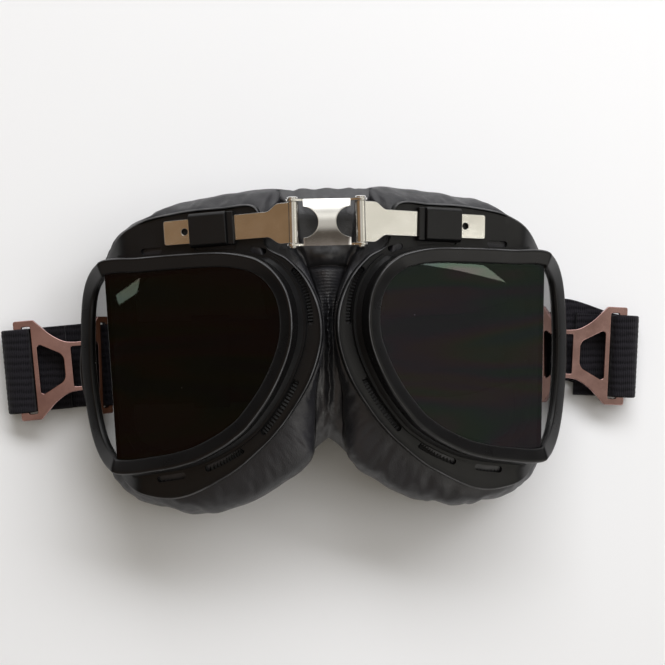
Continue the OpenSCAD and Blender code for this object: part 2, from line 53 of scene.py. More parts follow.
# Camera: the table is seen from above, with a slight turn of the part
def turn(axis, degrees):
    return np.array(Matrix.Rotation(math.radians(degrees), 3, axis))


IMAGE, FOCAL, SENSOR = 665, 79.76, 36
CAMERA_TURN = turn("Z", 1.34) @ turn("X", 0.75) @ turn("Y", 2.89)
CAMERA_SHIFT, CAMERA_DISTANCE = (2.84, 3.72), 450
PART_SHIFT_Y = 1.2
CAMERA_PLACE = CAMERA_TURN.T @ np.array([*CAMERA_SHIFT, CAMERA_DISTANCE]) + [0, PART_SHIFT_Y, 0]
camera_data = bpy.data.cameras.new("camera")
camera_data.lens = FOCAL
camera_data.sensor_width = SENSOR
camera_data.clip_start = 0.01
camera_data.dof.use_dof = False
camera = bpy.data.objects.new("camera", camera_data)
pose = np.eye(4)
pose[:3, :3], pose[:3, 3] = CAMERA_TURN.T, CAMERA_PLACE * MM
camera.matrix_world = Matrix(pose.tolist())
scene.collection.objects.link(camera)
scene.camera = camera
scene.view_settings.view_transform = "Standard"


# Sizes in millimetres, as in the part's source
FOLD_ANGLE, LENS_T = 44, 1.8
RIM_W, RIM_LIP, LENS_BITE, SEAL_T = 4.2, 2.2, 1.6, 0.9
FLANGE_T, TEMPLE_DROP, SLOT_W = 2, 10, 1.8
CREST_Z, CUP_X, SLOPE, DROOP = 50, 9.6, 18, 2.6
PIN_X, BRIDGE_Y, PIN_Z, PIN_D, BARREL_D, BARREL_L = 9.45, 36, 41.4, 1.6, 3.2, 11.6
PLATE_T, PLATE_X, NOTCH_R, CROWN_R = 0.6, 6.6, 4.3, 16
ARM_L, ARM_H, ARM_T, ARM_HOLE_X, ARM_HOLE_D = 37.6, 6.8, 1, 31.4, 1.9
KEEPER_X, KEEPER_L, KEEPER_WALL, KEEPER_TOP = 18.6, 10.9, 1.1, 1.9
PAD_W, PAD_SIDE_W, LINING_T = 12, 8.6, 2.4
STRAP_W, STRAP_T, STRAP_Y, STRAP_LEAN = 25, 1.3, -3, 4
BUCKLE_L, BUCKLE_T, LOOP_BAR_W, LOOP_SLOT_W = 21.6, 1.4, 2.4, 2.6
HINGE_Z, BUCKLE_TILT, STAPLE_D, SLIDE_L, SLIDE_X = 6.6, 3, 1.4, 11, -34
SEAT_GAP, SLIDE_GAP, SOFT_GAP = 0.05, 0.25, 0.3

# The outline of a cup, round the lens: lens edge, flange edge and cushion edge, each as a
# place across and along the face, and the height of the cushion's foot over the table
SHAPE = np.array([
    [56.4, 24, 58.5, 31, 62, 33, 1.2],
    [44.5, 24.3, 47.5, 38.4, 50, 41.5, 0],
    [32, 24.3, 34, 40.7, 37, 44, 0],
    [20.5, 23.9, 21.5, 40.9, 26, 45.6, 0],
    [13.6, 22.5, 11.4, 40.2, 12.8, 46.4, 1],
    [10.4, 21, 9.6, 29.6, 10.5, 41.5, 3],
    [7.6, 18.4, 3.5, 25.4, 9, 32, 9],
    [5.4, 14.3, -1.6, 19.6, 5.2, 21.8, 15],
    [4.6, 8.6, -4.8, 12, 2, 13.6, 18],
    [5.4, 2.4, -5.4, 4.5, 1.3, 5.5, 19],
    [8.3, -4.4, -3.8, -2.6, 2.3, -2.5, 18],
    [12.3, -10.8, -0.4, -10, 4.2, -11, 16],
    [17.8, -17.2, 5, -17.6, 4.6, -21, 12],
    [21.2, -19.9, 9, -22.2, 5.4, -31, 8],
    [25.8, -22.6, 14, -26.8, 14, -38, 3],
    [33.5, -25.7, 24.5, -34.2, 24.5, -43.7, 0],
    [43.5, -27.4, 41, -40.3, 40, -46.63, 0],
    [56.4, -27.4, 57.6, -35.4, 60.5, -40, 1.2],
    [66.2, -19.4, 67.6, -21, 66.8, -24, 2.4],
    [70.2, -1.6, 72.4, -3, 66, -3.5, 2.4],
    [66.4, 17, 67.4, 19, 65.6, 17.5, 2.4],
])
ROWS = len(SHAPE)
STEPS = 12
N = ROWS * STEPS
FOLD_BOTTOM = 17 * STEPS
FOLD_U = 56.4
EYE = np.array([36, -1])


def ease(k):
    k = np.clip(k, 0, 1)
    return k * k * (3 - 2 * k)


def mix(a, b, k):
    return a + (b - a) * k


def unit(v):
    """A vector, or each row of an array, made 1 long."""
    return v / np.maximum(np.linalg.norm(v, axis=-1, keepdims=True), 1e-9)


def distances(path):
    """The distance along a path at each of its points."""
    step = np.linalg.norm(np.diff(np.asarray(path, float), axis=0), axis=1)
    return np.concatenate([[0], np.cumsum(step)])


def spline(points, steps, closed):
    """Points on a smooth curve through the rows of an array."""
    p = np.asarray(points, float)
    n = len(p)
    rows = []
    for i in range(n if closed else n - 1):
        ids = [i - 1, i, i + 1, i + 2]
        a, b, c, d = [p[k % n] if closed else p[min(max(k, 0), n - 1)] for k in ids]
        for s in range(steps):
            t = s / steps
            rows.append(0.5 * (2 * b + (c - a) * t + (2 * a - 5 * b + 4 * c - d) * t * t
                               + (3 * b - a - 3 * c + d) * t ** 3))
    if not closed:
        rows.append(p[-1])
    return np.array(rows)


OUTLINE = spline(SHAPE, STEPS, True)
LENS, FLANGE, PAD = OUTLINE[:, 0:2], OUTLINE[:, 2:4], OUTLINE[:, 4:6]
FOOT = np.maximum(0, OUTLINE[:, 6])
TEMPLE = ease((LENS[:, 0] - FOLD_U + 4) / 12)
BROW = ease((FLANGE[:, 1] - 30) / 8)


def outward_directions():
    tangent = np.roll(LENS, -1, 0) - np.roll(LENS, 1, 0)
    normal = unit(np.stack([tangent[:, 1], -tangent[:, 0]], 1))
    near = ease(1 - np.abs(LENS[:, 0] - FOLD_U) / 5.5)[:, None]
    up = np.where(LENS[:, 1:2] > 0, 1, -1)
    return unit(mix(normal, np.concatenate([np.zeros_like(up), up], 1), near))


AWAY = outward_directions()


def out_from(d):
    d = np.broadcast_to(np.asarray(d, float), (N,))
    return LENS + AWAY * d[:, None]


def bend(q, h):
    """Points of the flat pattern, bent over the fold, h above the sheet."""
    h = np.broadcast_to(np.asarray(h, float), (len(q),))
    angle = math.radians(FOLD_ANGLE)
    t = h * math.tan(angle / 2)
    s = q[:, 0] - FOLD_U
    ids = np.arange(len(q))
    on_fold = (ids == 0) | (ids == FOLD_BOTTOM)
    side = ids > FOLD_BOTTOM
    reach = np.maximum(s, -t)
    front = np.stack([np.minimum(q[:, 0], FOLD_U + t), q[:, 1], h], 1)
    rear = np.stack([FOLD_U + reach * math.cos(angle) + h * math.sin(angle), q[:, 1],
                     h * math.cos(angle) - reach * math.sin(angle)], 1)
    fold = np.stack([FOLD_U + t, q[:, 1], h], 1)
    return np.where(on_fold[:, None], fold, np.where(side[:, None], rear, front))


def ring(d, h):
    return bend(out_from(d), h)


CUP_TURN = turn("Y", SLOPE) @ turn("Z", -DROOP)
CUP_ORIGIN = np.array([CUP_X, PART_SHIFT_Y, CREST_Z])


def placed(p):
    return np.asarray(p, float) @ CUP_TURN.T + CUP_ORIGIN


def in_cup(p):
    return (np.asarray(p, float) - CUP_ORIGIN) @ CUP_TURN


PIN_PLACE = (PIN_X, BRIDGE_Y, PIN_Z)
ARM_TOP = in_cup(PIN_PLACE)[2] + BARREL_D / 2
FLANGE_TOP = ARM_TOP - ARM_T - SLIDE_GAP
LENS_TOP = -RIM_LIP - SEAT_GAP
SEAL_TOP = LENS_TOP - LENS_T - SEAT_GAP
RIM_FOOT = SEAL_TOP - SEAL_T - SEAT_GAP
WALL_TOP = RIM_FOOT - SEAT_GAP
FOOT_D, FOOT_BROW_D, FOOT_TEMPLE_D = RIM_W + 1.7, RIM_W + 0.7, RIM_W + 1


def flange_w(u):
    return FLANGE_TOP - TEMPLE_DROP * ease((u - 50) / 18)


# Meshes
def noise3(p, scale, seed):
    """A smooth repeatable noise from -1 to 1 at each point, from a few turned waves."""
    rng = np.random.RandomState(seed)
    total = np.zeros(len(p))
    for octave in range(3):
        for _ in range(5):
            d = unit(rng.normal(size=3))
            total += np.sin(p @ d * WAVE / scale * (1.7 ** octave)
                            + rng.uniform(0, 6.28)) / (1.6 ** octave)
    return np.clip(total / 5, -1, 1)


def make(name, verts, faces, side=1, angle=35):
    """A mesh object from points in millimetres. A side of -1 makes its mirror image."""
    verts = np.array(verts, float) * MM
    if side < 0:
        verts = verts * [-1, 1, 1]
        faces = [tuple(reversed(f)) for f in faces]
    mesh = bpy.data.meshes.new(name)
    mesh.from_pydata([tuple(v) for v in verts], [], [tuple(int(i) for i in f) for f in faces])
    mesh.validate()
    obj = bpy.data.objects.new(name, mesh)
    scene.collection.objects.link(obj)
    smooth(obj, angle)
    return obj


def smooth(obj, angle=35):
    obj.data.shade_smooth()
    obj.data.set_sharp_from_angle(angle=math.radians(angle))


def loft_faces(m, n):
    faces = []
    for j in range(m):
        for i in range(n):
            a, b = j * n + i, j * n + (i + 1) % n
            c, d = ((j + 1) % m) * n + (i + 1) % n, ((j + 1) % m) * n + i
            faces.append((a, d, c, b))
    return faces


def loft(name, loops, side):
    return make(name, np.concatenate(loops), loft_faces(len(loops), len(loops[0])), side)


def fix_normals(obj):
    bm = bmesh.new()
    bm.from_mesh(obj.data)
    bmesh.ops.recalc_face_normals(bm, faces=bm.faces)
    bm.to_mesh(obj.data)
    bm.free()
    smooth(obj)


def closed(name, verts, faces, side=1):
    """A closed mesh object with its faces turned outward."""
    obj = make(name, verts, faces, side)
    fix_normals(obj)
    return obj


def solid_grid(top, bottom):
    """Points and faces of a closed slab between two grids of the same size."""
    m, n = top.shape[:2]
    verts = np.concatenate([top.reshape(-1, 3), bottom.reshape(-1, 3)])
    base = m * n
    faces = []
    for j in range(m - 1):
        for i in range(n - 1):
            a = j * n + i
            faces.append((a, a + n, a + n + 1, a + 1))
            faces.append((base + a, base + a + 1, base + a + n + 1, base + a + n))
    edge = [*range(n), *(j * n + n - 1 for j in range(1, m))]
    edge += [(m - 1) * n + i for i in range(n - 2, -1, -1)]
    edge += [j * n for j in range(m - 2, 0, -1)]
    for k, a in enumerate(edge):
        b = edge[(k + 1) % len(edge)]
        faces.append((a, b, base + b, base + a))
    return verts, faces


def dissolved(bm):
    """Points and faces of a bmesh whose flat parts are made single faces. It frees the bmesh."""
    bmesh.ops.dissolve_limit(bm, angle_limit=0.01, verts=bm.verts, edges=bm.edges)
    bm.verts.index_update()
    verts = np.array([v.co for v in bm.verts])
    faces = [tuple(v.index for v in f.verts) for f in bm.faces]
    bm.free()
    return verts, faces


def prism(outlines, low, high):
    """Points and faces of a plate between two heights: an outer outline, and holes after it."""
    bm = bmesh.new()
    edges = []
    for line in outlines:
        vs = [bm.verts.new((p[0], p[1], high)) for p in line]
        edges += [bm.edges.new((vs[i], vs[(i + 1) % len(vs)])) for i in range(len(vs))]
    bmesh.ops.triangle_fill(bm, use_beauty=True, use_dissolve=True, edges=edges, normal=(0, 0, 1))
    # The underside and the walls are made by hand, because the order that an extrusion leaves
    # changes from run to run, and what is dissolved changes with it.
    base = [bm.verts.new((v.co.x, v.co.y, low)) for v in list(bm.verts)]
    bm.verts.index_update()
    for f in list(bm.faces):
        bm.faces.new([base[v.index] for v in f.verts][::-1])
    for a, b in [edge.verts for edge in edges]:
        bm.faces.new((a, b, base[b.index], base[a.index]))
    bmesh.ops.recalc_face_normals(bm, faces=bm.faces)
    return dissolved(bm)


def circle(x, y, r, count=32):
    return [(x + r * math.cos(WAVE * k / count), y + r * math.sin(WAVE * k / count))
            for k in range(count)]


def turned(profile, count):
    """Rings of points round Z, from radius and height."""
    return [[(x, y, z) for x, y in circle(0, 0, r, count)] for r, z in profile]


def tube(rings):
    """Points and faces of a closed tube through rings of points, with an end on each side."""
    n, last = len(rings[0]), (len(rings) - 1) * len(rings[0])
    ends = [tuple(range(n)), tuple(range(last, last + n))]
    return np.concatenate(rings), loft_faces(len(rings), n)[:last] + ends


def joined(*parts):
    verts, faces, base = [], [], 0
    for v, f in parts:
        verts.append(np.asarray(v, float))
        faces += [tuple(i + base for i in face) for face in f]
        base += len(v)
    return np.concatenate(verts), faces


def assign(thing, values):
    for k, v in values.items():
        setattr(thing, k, v)


def modify(obj, kind, **values):
    assign(obj.modifiers.new(kind.lower(), kind), values)


def apply_all(obj):
    dg = bpy.context.evaluated_depsgraph_get()
    mesh = bpy.data.meshes.new_from_object(obj.evaluated_get(dg))
    old = obj.data
    obj.modifiers.clear()
    obj.data = mesh
    bpy.data.meshes.remove(old)


def bevel(obj, width, segments=3, angle=42, sharp=40):
    """Rounds the edges. Flat faces then shade flat, and only the bevels between them round."""
    modify(obj, "BEVEL", width=width * MM, segments=segments, limit_method="ANGLE",
           angle_limit=math.radians(angle), use_clamp_overlap=True, harden_normals=False)
    apply_all(obj)
    smooth(obj, sharp)
    modify(obj, "WEIGHTED_NORMAL", mode="FACE_AREA", weight=80, keep_sharp=True)
    apply_all(obj)


def paint_edge_highlight(obj, rows):
    """Marks the faces after these loops of a loft round the cup. The plastics paint them lighter,
    as a painted highlight along the edge.
    """
    layer = obj.data.attributes.new("painted_highlight", "FLOAT", "FACE").data
    for j in rows:
        for i in range(N):
            layer[j * N + i].value = 1


# Materials
class Graph:
    """Adds linked nodes to a material or a world."""

    def __init__(self, owner):
        owner.use_nodes = True
        self.tree = owner.node_tree

    def node(self, kind, inputs, **settings):
        node = self.tree.nodes.new("ShaderNode" + kind)
        assign(node, settings)
        for k, v in inputs.items():
            if isinstance(v, bpy.types.NodeSocket):
                self.tree.links.new(v, node.inputs[k])
            else:
                node.inputs[k].default_value = v
        return node

    def add(self, kind, inputs, out=0, **settings):
        """One output of a new node."""
        return self.node(kind, inputs, **settings).outputs[out]


class Nodes(Graph):
    """A material's nodes round its main shader."""

    def __init__(self, name):
        self.material = bpy.data.materials.new(name)
        super().__init__(self.material)
        self.shader = self.tree.nodes["Principled BSDF"]
        self.coords = self.add("TexCoord", {}, "Object")

    def mapped(self, scale):
        return self.add("Mapping", {"Vector": self.coords, "Scale": scale})

    def noise(self, scale, detail=4, rough=0.55, vector=None, distortion=0):
        return self.add("TexNoise", {"Vector": vector or self.coords, "Scale": scale,
                                     "Detail": detail, "Roughness": rough,
                                     "Distortion": distortion})

    def ramp(self, factor, stops):
        node = self.node("ValToRGB", {"Fac": factor})
        while len(node.color_ramp.elements) < len(stops):
            node.color_ramp.elements.new(0.5)
        for e, (at, value) in zip(node.color_ramp.elements, stops):
            e.position = at
            e.color = (*value, 1) if len(value) == 3 else value
        return node.outputs[0]

    def ranged(self, factor, low, high, start=0, end=1):
        return self.add("MapRange", {"Value": factor, "From Min": start, "From Max": end,
                                     "To Min": low, "To Max": high})

    def maths(self, operation, a, b):
        return self.add("Math", {0: a, 1: b}, operation=operation)

    def bump(self, height, strength, distance, normal=None):
        inputs = {"Height": height, "Strength": strength, "Distance": distance}
        if normal is not None:
            inputs["Normal"] = normal
        return self.add("Bump", inputs)

    def set(self, **values):
        for k, v in values.items():
            socket = self.shader.inputs[k.replace("_", " ")]
            if isinstance(v, bpy.types.NodeSocket):
                self.tree.links.new(v, socket)
            else:
                socket.default_value = v
        return self.material


def leather_material(name, dark, light, gloss):
    n = Nodes(name)
    cells = n.add("TexVoronoi", {"Vector": n.coords, "Scale": 1500, "Randomness": 0.9},
                  feature="DISTANCE_TO_EDGE")
    grain = n.ranged(cells, 0, 1, 0, 0.35)
    creases = n.noise(220, 6, 0.62, distortion=0.9)
    soft = n.noise(55, 3)
    normal = n.bump(creases, 0.35, 0.0004)
    normal = n.bump(grain, 0.28, 0.00008, normal)
    color = n.ramp(soft, [(0.3, dark), (0.7, light)])
    rough = n.ranged(n.noise(420, 4), 0.4, 0.56, 0.3, 0.7)
    return n.set(Base_Color=color, Roughness=rough, Normal=normal, Specular_IOR_Level=gloss,
                 Coat_Weight=0.08, Coat_Roughness=0.3)


# Lighter plastic laid on the marked edge faces: a painted highlight along the edges.
EDGE_HIGHLIGHT_COLOR = (0.105, 0.105, 0.108)


def plastic_material(name, dark, light, rough_low, rough_high, grain, gloss):
    n = Nodes(name)
    fine = n.noise(4200, 3)
    wide = n.noise(70, 4)
    normal = n.bump(fine, grain, 0.00004)
    # The marked edge faces are painted lighter here, varied by noise: a painted highlight.
    highlight = n.add("Attribute", {}, "Fac", attribute_name="painted_highlight")
    highlight = n.maths("MULTIPLY", highlight, n.ranged(n.noise(110, 4), 0.78, 1, 0.35, 0.65))
    color = n.ramp(n.maths("MAXIMUM", wide, highlight), [(0.3, dark), (0.72, light), (1, EDGE_HIGHLIGHT_COLOR)])
    rough = n.ranged(n.noise(160, 5), rough_low, rough_high, 0.3, 0.7)
    return n.set(Base_Color=color, Roughness=rough, Normal=normal, Specular_IOR_Level=gloss)


def chrome_material(name, tint, dull, rough_low, rough_high):
    n = Nodes(name)
    haze = n.noise(130, 6, 0.6)
    scratch = n.noise(900, 5, 0.6, vector=n.mapped((1, 7, 1)))
    color = n.ramp(haze, [(0.32, dull), (0.62, tint)])
    rough = n.ranged(haze, rough_low, rough_high, 0.3, 0.7)
    normal = n.bump(scratch, 0.05, 0.00003)
    normal = n.bump(n.noise(45, 3), 0.1, 0.0006, normal)
    return n.set(Base_Color=color, Metallic=1, Roughness=rough, Normal=normal)


def lens_material(name, ior, tint, film_ior):
    n = Nodes(name)
    smudge = n.noise(40, 5, 0.6)
    rough = n.ranged(smudge, 0.003, 0.014, 0.35, 0.7)
    specks = n.add("TexVoronoi", {"Vector": n.coords, "Scale": 170, "Randomness": 1})
    dust = n.ranged(specks, 0.5, 0, 0.02, 0.05)
    rough = n.maths("MAXIMUM", rough, dust)
    color = n.ramp(smudge, [(0.3, tint), (0.7, tuple(c * 1.3 for c in tint))])
    n.set(Base_Color=color, Roughness=rough, IOR=ior, Transmission_Weight=1)
    if film_ior:
        bands = n.noise(22, 3, 0.5, vector=n.mapped((0.5, 2.4, 1)), distortion=0.6)
        n.set(Thin_Film_Thickness=n.ranged(bands, 300, 720, 0.3, 0.7), Thin_Film_IOR=film_ior)
    return n.material


def webbing_material():
    n = Nodes("webbing")
    ribs = n.add("TexWave", {"Vector": n.coords, "Scale": 150, "Distortion": 1.2, "Detail": 2,
                             "Detail Scale": 3}, "Fac", wave_type="BANDS", bands_direction="Y")
    picks = n.add("TexWave", {"Vector": n.coords, "Scale": 480, "Distortion": 2, "Detail": 2,
                              "Detail Scale": 2}, "Fac", wave_type="BANDS", bands_direction="X")
    fuzz = n.noise(2400, 4, 0.7)
    height = n.maths("ADD", n.maths("MULTIPLY", ribs, 0.8),
                     n.maths("MULTIPLY", picks, 0.5))
    height = n.maths("ADD", height, n.maths("MULTIPLY", fuzz, 0.35))
    # Coloured from the weave's height: darker in the grooves between ribs and picks as painted
    # shade, lighter on the raised threads.
    color = n.ramp(height, [(0.25, (0.0045, 0.0042, 0.0055)), (0.9, (0.015, 0.014, 0.017))])
    return n.set(Base_Color=color, Roughness=0.9, Normal=n.bump(height, 0.7, 0.00022),
                 Sheen_Weight=0.08, Sheen_Roughness=0.4, Specular_IOR_Level=0.2)


def foam_material():
    n = Nodes("foam")
    depth = n.add("TexVoronoi", {"Vector": n.coords, "Scale": 1100})
    # The pits of the foam are coloured darker than the cell walls, as painted shade in them.
    color = n.ramp(depth, [(0.1, (0.012, 0.012, 0.013)), (0.7, (0.04, 0.04, 0.042))])
    return n.set(Base_Color=color, Roughness=0.95, Normal=n.bump(depth, 0.8, 0.0003),
                 Specular_IOR_Level=0.2)


def rubber_material():
    n = Nodes("seal_rubber")
    speck = n.noise(1800, 3)
    color = n.ramp(speck, [(0.3, (0.01, 0.01, 0.01)), (0.7, (0.018, 0.018, 0.018))])
    return n.set(Base_Color=color, Roughness=0.7, Normal=n.bump(speck, 0.2, 0.00005))


LEATHER = leather_material("leather", (0.01, 0.01, 0.012), (0.015, 0.015, 0.018), 0.6)
# The covers over the nose use a lighter copy of the cushion leather: painted light on leather that
# the nose plate shades.
PAINTED_LIGHT_NOSE_LEATHER = leather_material("nose_leather", (0.016, 0.016, 0.018), (0.023, 0.023, 0.026), 0.9)
RIM = plastic_material("rim_plastic", (0.0036, 0.0035, 0.0037), (0.0052, 0.005, 0.0053),
                       rough_low=0.26, rough_high=0.34, grain=0.1, gloss=0.3)
FRAME = plastic_material("frame_plastic", (0.0044, 0.0044, 0.0047), (0.0062, 0.0062, 0.0066),
                         rough_low=0.36, rough_high=0.46, grain=0.2, gloss=0.36)
MESH = plastic_material("vent_mesh", (0.003, 0.003, 0.0032), (0.0045, 0.0045, 0.0048),
                        rough_low=0.45, rough_high=0.6, grain=0.2, gloss=0.35)
CHROME = chrome_material("chrome", (0.88, 0.87, 0.85), (0.78, 0.77, 0.74), 0.1, 0.22)
BUCKLE = chrome_material("buckle_chrome", (0.56, 0.352, 0.335), (0.39, 0.235, 0.222), 0.12, 0.26)
FRONT_LENS = lens_material("tinted_lens", 1.33, (0.032, 0.036, 0.034), 1.305)
SIDE_LENS = lens_material("tinted_side_lens", 2.3, (0.045, 0.046, 0.044), None)
WEBBING = webbing_material()
FOAM = foam_material()
SEAL = rubber_material()


def dress(obj, material, body=None, stands_for=None):
    obj.data.materials.clear()
    obj.data.materials.append(material)
    if body:
        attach(obj, body)
    if stands_for:
        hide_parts(stands_for)


# Bezel: distance out from the edge of the lens opening, and height over the lens rim
BEZEL = [
    [0, -2.1], [0.02, -1.62], [0.16, -1.34], [0.5, -1.14], [1.5, -0.72], [2.5, -0.32],
    [3.1, -0.1], [3.45, 0], [3.75, -0.06], [3.98, -0.26], [4.13, -0.58], [RIM_W, -1],
    [RIM_W, -1.9], [RIM_W, RIM_FOOT], [LENS_BITE + 0.25, RIM_FOOT],
    [LENS_BITE + 0.25, -RIM_LIP], [0, -RIM_LIP],
]
# The faces after the bezel's crest loop get the painted highlight.
BEZEL_HIGHLIGHT_ROWS = [8]


def bezel(who, side):
    obj = loft(f"{who}_bezel_rim", [placed(ring(d, h)) for d, h in BEZEL], side)
    paint_edge_highlight(obj, BEZEL_HIGHLIGHT_ROWS)
    bevel(obj, 0.2, 3, 44, 50)
    dress(obj, RIM, f"{who}_cup", f"{who}_bezel")


# Rear frame. Its slots run between two places on the outline, counted in rows of SHAPE
SLOTS = [[2.2, 3.1], [3.85, 4.36], [6.2, 8.2], [10.2, 12.1], [13.6, 14.9], [15.6, 16.2], [0.9, 1.3]]
SLOT_D, SLOT_BROW_D = FOOT_D + 1, FOOT_BROW_D + 1.1
SLOT_CUTS, CUT_UNDER, CUT_OVER = 16, 1.5, 0.9
QUARTERS = (0.25, 0.5, 0.75)
INSIDE_D = 1
LIP_Y, LIP_RUN, LIP_LOW, LIP_RISE, LIP_W = 38.4, 1.2, 0.1, 0.62, 0.8
EDGE_R, EDGE_MID = 0.42, 0.12
LEDGE_W, LEDGE_H, LEDGE_TEMPLE_H = 0.75, 1.1, 0.5
WALL_IN = 0.3
# The faces of the flange's rounded outer edge get the painted highlight.
FRAME_HIGHLIGHT_ROWS = [9, 10]


def between(values, k):
    i = int(math.floor(k))
    return mix(values[i % N], values[(i + 1) % N], k - i)


def across_slot(k, offsets):
    """Points across a slot at place k on the outline, at these distances from its middle."""
    d = mix(SLOT_D, SLOT_BROW_D, between(BROW, k))
    return [between(LENS, k) + between(AWAY, k) * (d + offset) for offset in offsets]


def slot_cutter(start, end):
    ks = [mix(start, end, j / SLOT_CUTS) * STEPS for j in range(SLOT_CUTS + 1)]
    rows = np.array([across_slot(k, (-SLOT_W / 2, SLOT_W / 2)) for k in ks])
    near, far = rows[:, 0], rows[:, 1]

    def cap(a, b, away):
        middle, half = (a + b) / 2, (b - a) / 2
        away = unit(away) * np.linalg.norm(half) * 0.9
        return [middle - half * math.cos(t) + away * math.sin(t)
                for t in np.linspace(0.3, math.pi - 0.3, 6)]

    outline = [*near, *cap(near[-1], far[-1], near[-1] - near[-2]), *far[::-1],
               *cap(far[0], near[0], near[0] - near[1])]
    return prism([outline], FLANGE_TOP - FLANGE_T - CUT_UNDER, FLANGE_TOP + CUT_OVER)


def at_height(points, z):
    return np.concatenate([points[:, :2], z[:, None]], 1)


def on_flange(points, depth=0):
    """The points, moved to this depth below the top of the flange."""
    return at_height(points, flange_w(points[:, 0]) - depth)


def risen(points, h):
    return points + np.outer(h, [0, 0, 1])


def flange_loops():
    """The foot of the wall and the outer edge on the flange's top, and both edges below it."""
    foot_d = mix(mix(FOOT_D, FOOT_BROW_D, BROW), FOOT_TEMPLE_D, TEMPLE)
    foot = on_flange(bend(out_from(foot_d), mix(FLANGE_TOP, WALL_TOP - 1.5, TEMPLE)))
    out = on_flange(FLANGE)
    inside = on_flange(bend(out_from(INSIDE_D), WALL_TOP - 2), FLANGE_T)
    return foot, out, out - [0, 0, FLANGE_T], inside


def toward(points, target, distance):
    d = target - points
    return points + d * (distance / np.maximum(np.linalg.norm(d[:, :2], axis=1), 1e-6))[:, None]


def rear_frame(who, side):
    foot, out, under, inside = flange_loops()
    ledge_h = mix(LEDGE_H, LEDGE_TEMPLE_H, TEMPLE)
    ledge_in = at_height(toward(foot, ring(RIM_W, WALL_TOP), LEDGE_W), foot[:, 2] + ledge_h)
    lip_in = on_flange(toward(out, foot, LIP_W))
    lip = risen(out, LIP_LOW + LIP_RISE * ease((out[:, 1] - LIP_Y) / LIP_RUN))
    edge_in = at_height(toward(lip, lip_in, EDGE_R), lip[:, 2])
    edge_mid = at_height(toward(lip, lip_in, EDGE_MID), lip[:, 2] - EDGE_MID)
    top = [on_flange(mix(foot, lip_in, k)) for k in QUARTERS]
    low = [on_flange(mix(under, inside, k), FLANGE_T) for k in QUARTERS]
    loops = [ring(WALL_IN, WALL_TOP), ring(RIM_W, WALL_TOP), ledge_in, risen(foot, ledge_h), foot,
             *top, lip_in, edge_in, edge_mid, lip - [0, 0, EDGE_R], under, *low, inside]
    obj = loft(f"{who}_frame_shell", [placed(p) for p in loops], side)
    paint_edge_highlight(obj, FRAME_HIGHLIGHT_ROWS)
    verts, faces = joined(*[slot_cutter(*ends) for ends in SLOTS])
    cutter = make("cutter", placed(verts), faces, side)
    modify(obj, "BOOLEAN", operation="DIFFERENCE", object=cutter, solver="EXACT")
    apply_all(obj)
    smooth(obj, 30)
    bpy.data.objects.remove(cutter)
    dress(obj, FRAME, f"{who}_cup", f"{who}_rear_frame")


MESH_HALF, MESH_DEPTH, MESH_RIB, MESH_T, MESH_PITCH = 0.85, 1.15, 0.3, 0.5, 15


def vents(who, side):
    """Ribbed mesh in the slots of the rear frame."""
    parts = []
    for low, high in SLOTS:
        top = []
        for j, k in enumerate(np.linspace(low, high, int((high - low) * MESH_PITCH) + 6) * STEPS):
            row = np.array(across_slot(k, np.linspace(-MESH_HALF, MESH_HALF, 5)))
            top.append(on_flange(row, MESH_DEPTH - MESH_RIB * (j % 2)))
        parts.append(solid_grid(np.array(top), np.array(top) - [0, 0, MESH_T]))
    verts, faces = joined(*parts)
    obj = closed(f"{who}_vent_mesh", placed(verts), faces, side)
    dress(obj, MESH, f"{who}_cup")


def seal(who, side):
    back = SEAL_TOP - SEAL_T
    section = [[WALL_IN, SEAL_TOP], [LENS_BITE, SEAL_TOP], [LENS_BITE, back], [WALL_IN, back]]
    obj = loft(f"{who}_seal_ring", [placed(ring(d, h)) for d, h in section], side)
    bevel(obj, 0.15, 2, 40, 50)
    dress(obj, SEAL, f"{who}_cup", f"{who}_lens_seal")


def lens_pane(who, name, material):
    """A pane of the size of the solid lens, with flat faces and polished edges."""
    bm = bmesh.new()
    bm.from_mesh(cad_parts[f"{who}_{name}"].data)
    bmesh.ops.remove_doubles(bm, verts=bm.verts, dist=1e-6)
    verts, faces = dissolved(bm)
    obj = closed(f"{who}_{name}_pane", verts / MM, faces)
    bevel(obj, 0.08, 2, 40, 30)
    dress(obj, material, f"{who}_cup", f"{who}_{name}")


# Cushion
GAP_TEMPLE, GAP_X, GAP_RUN = 1.1, 46, 8
GATHER_PITCH, GATHER_H, SUNK = 9, 0.16, 0.35
LINING_GAP = 3.8 * SOFT_GAP
CLOTH = {"vertex_group_mass": "held", "quality": 4, "mass": 0.2, "tension_stiffness": 20,
         "compression_stiffness": 20, "shear_stiffness": 6, "bending_stiffness": 0.05,
         "shrink_min": -0.03, "use_pressure": True, "uniform_pressure_force": 4}
CLOTH_FRAMES = 20
MOST_SWELL = 0.7


def pad_loops():
    """Loops round the cushion, from the inside of its top over the outside to the inside below."""
    _, _, under, inside = flange_loops()
    gap = mix(SOFT_GAP, GAP_TEMPLE, ease((FLANGE[:, 0] - GAP_X) / GAP_RUN))
    top_out = placed(risen(mix(under, inside, mix(0.1, 0.55, TEMPLE)[:, None]), -gap))
    top_in = placed(risen(mix(under, inside, 0.92), -gap))
    edge_z = np.minimum(top_out[:, 2], placed(under)[:, 2])
    inward = unit(EYE - PAD) * mix(PAD_W, PAD_SIDE_W, TEMPLE)[:, None]
    shoulder = at_height(mix(top_out[:, :2], PAD, 0.85), mix(edge_z, FOOT, 0.16))
    below = [at_height(PAD + inward * across, mix(FOOT, top_out[:, 2], up))
             for across, up in ((0, 0.5), (0.08, 0.16), (0.3, 0), (0.75, 0), (0.98, 0.2))]
    return [top_in, top_out, shoulder, *below]


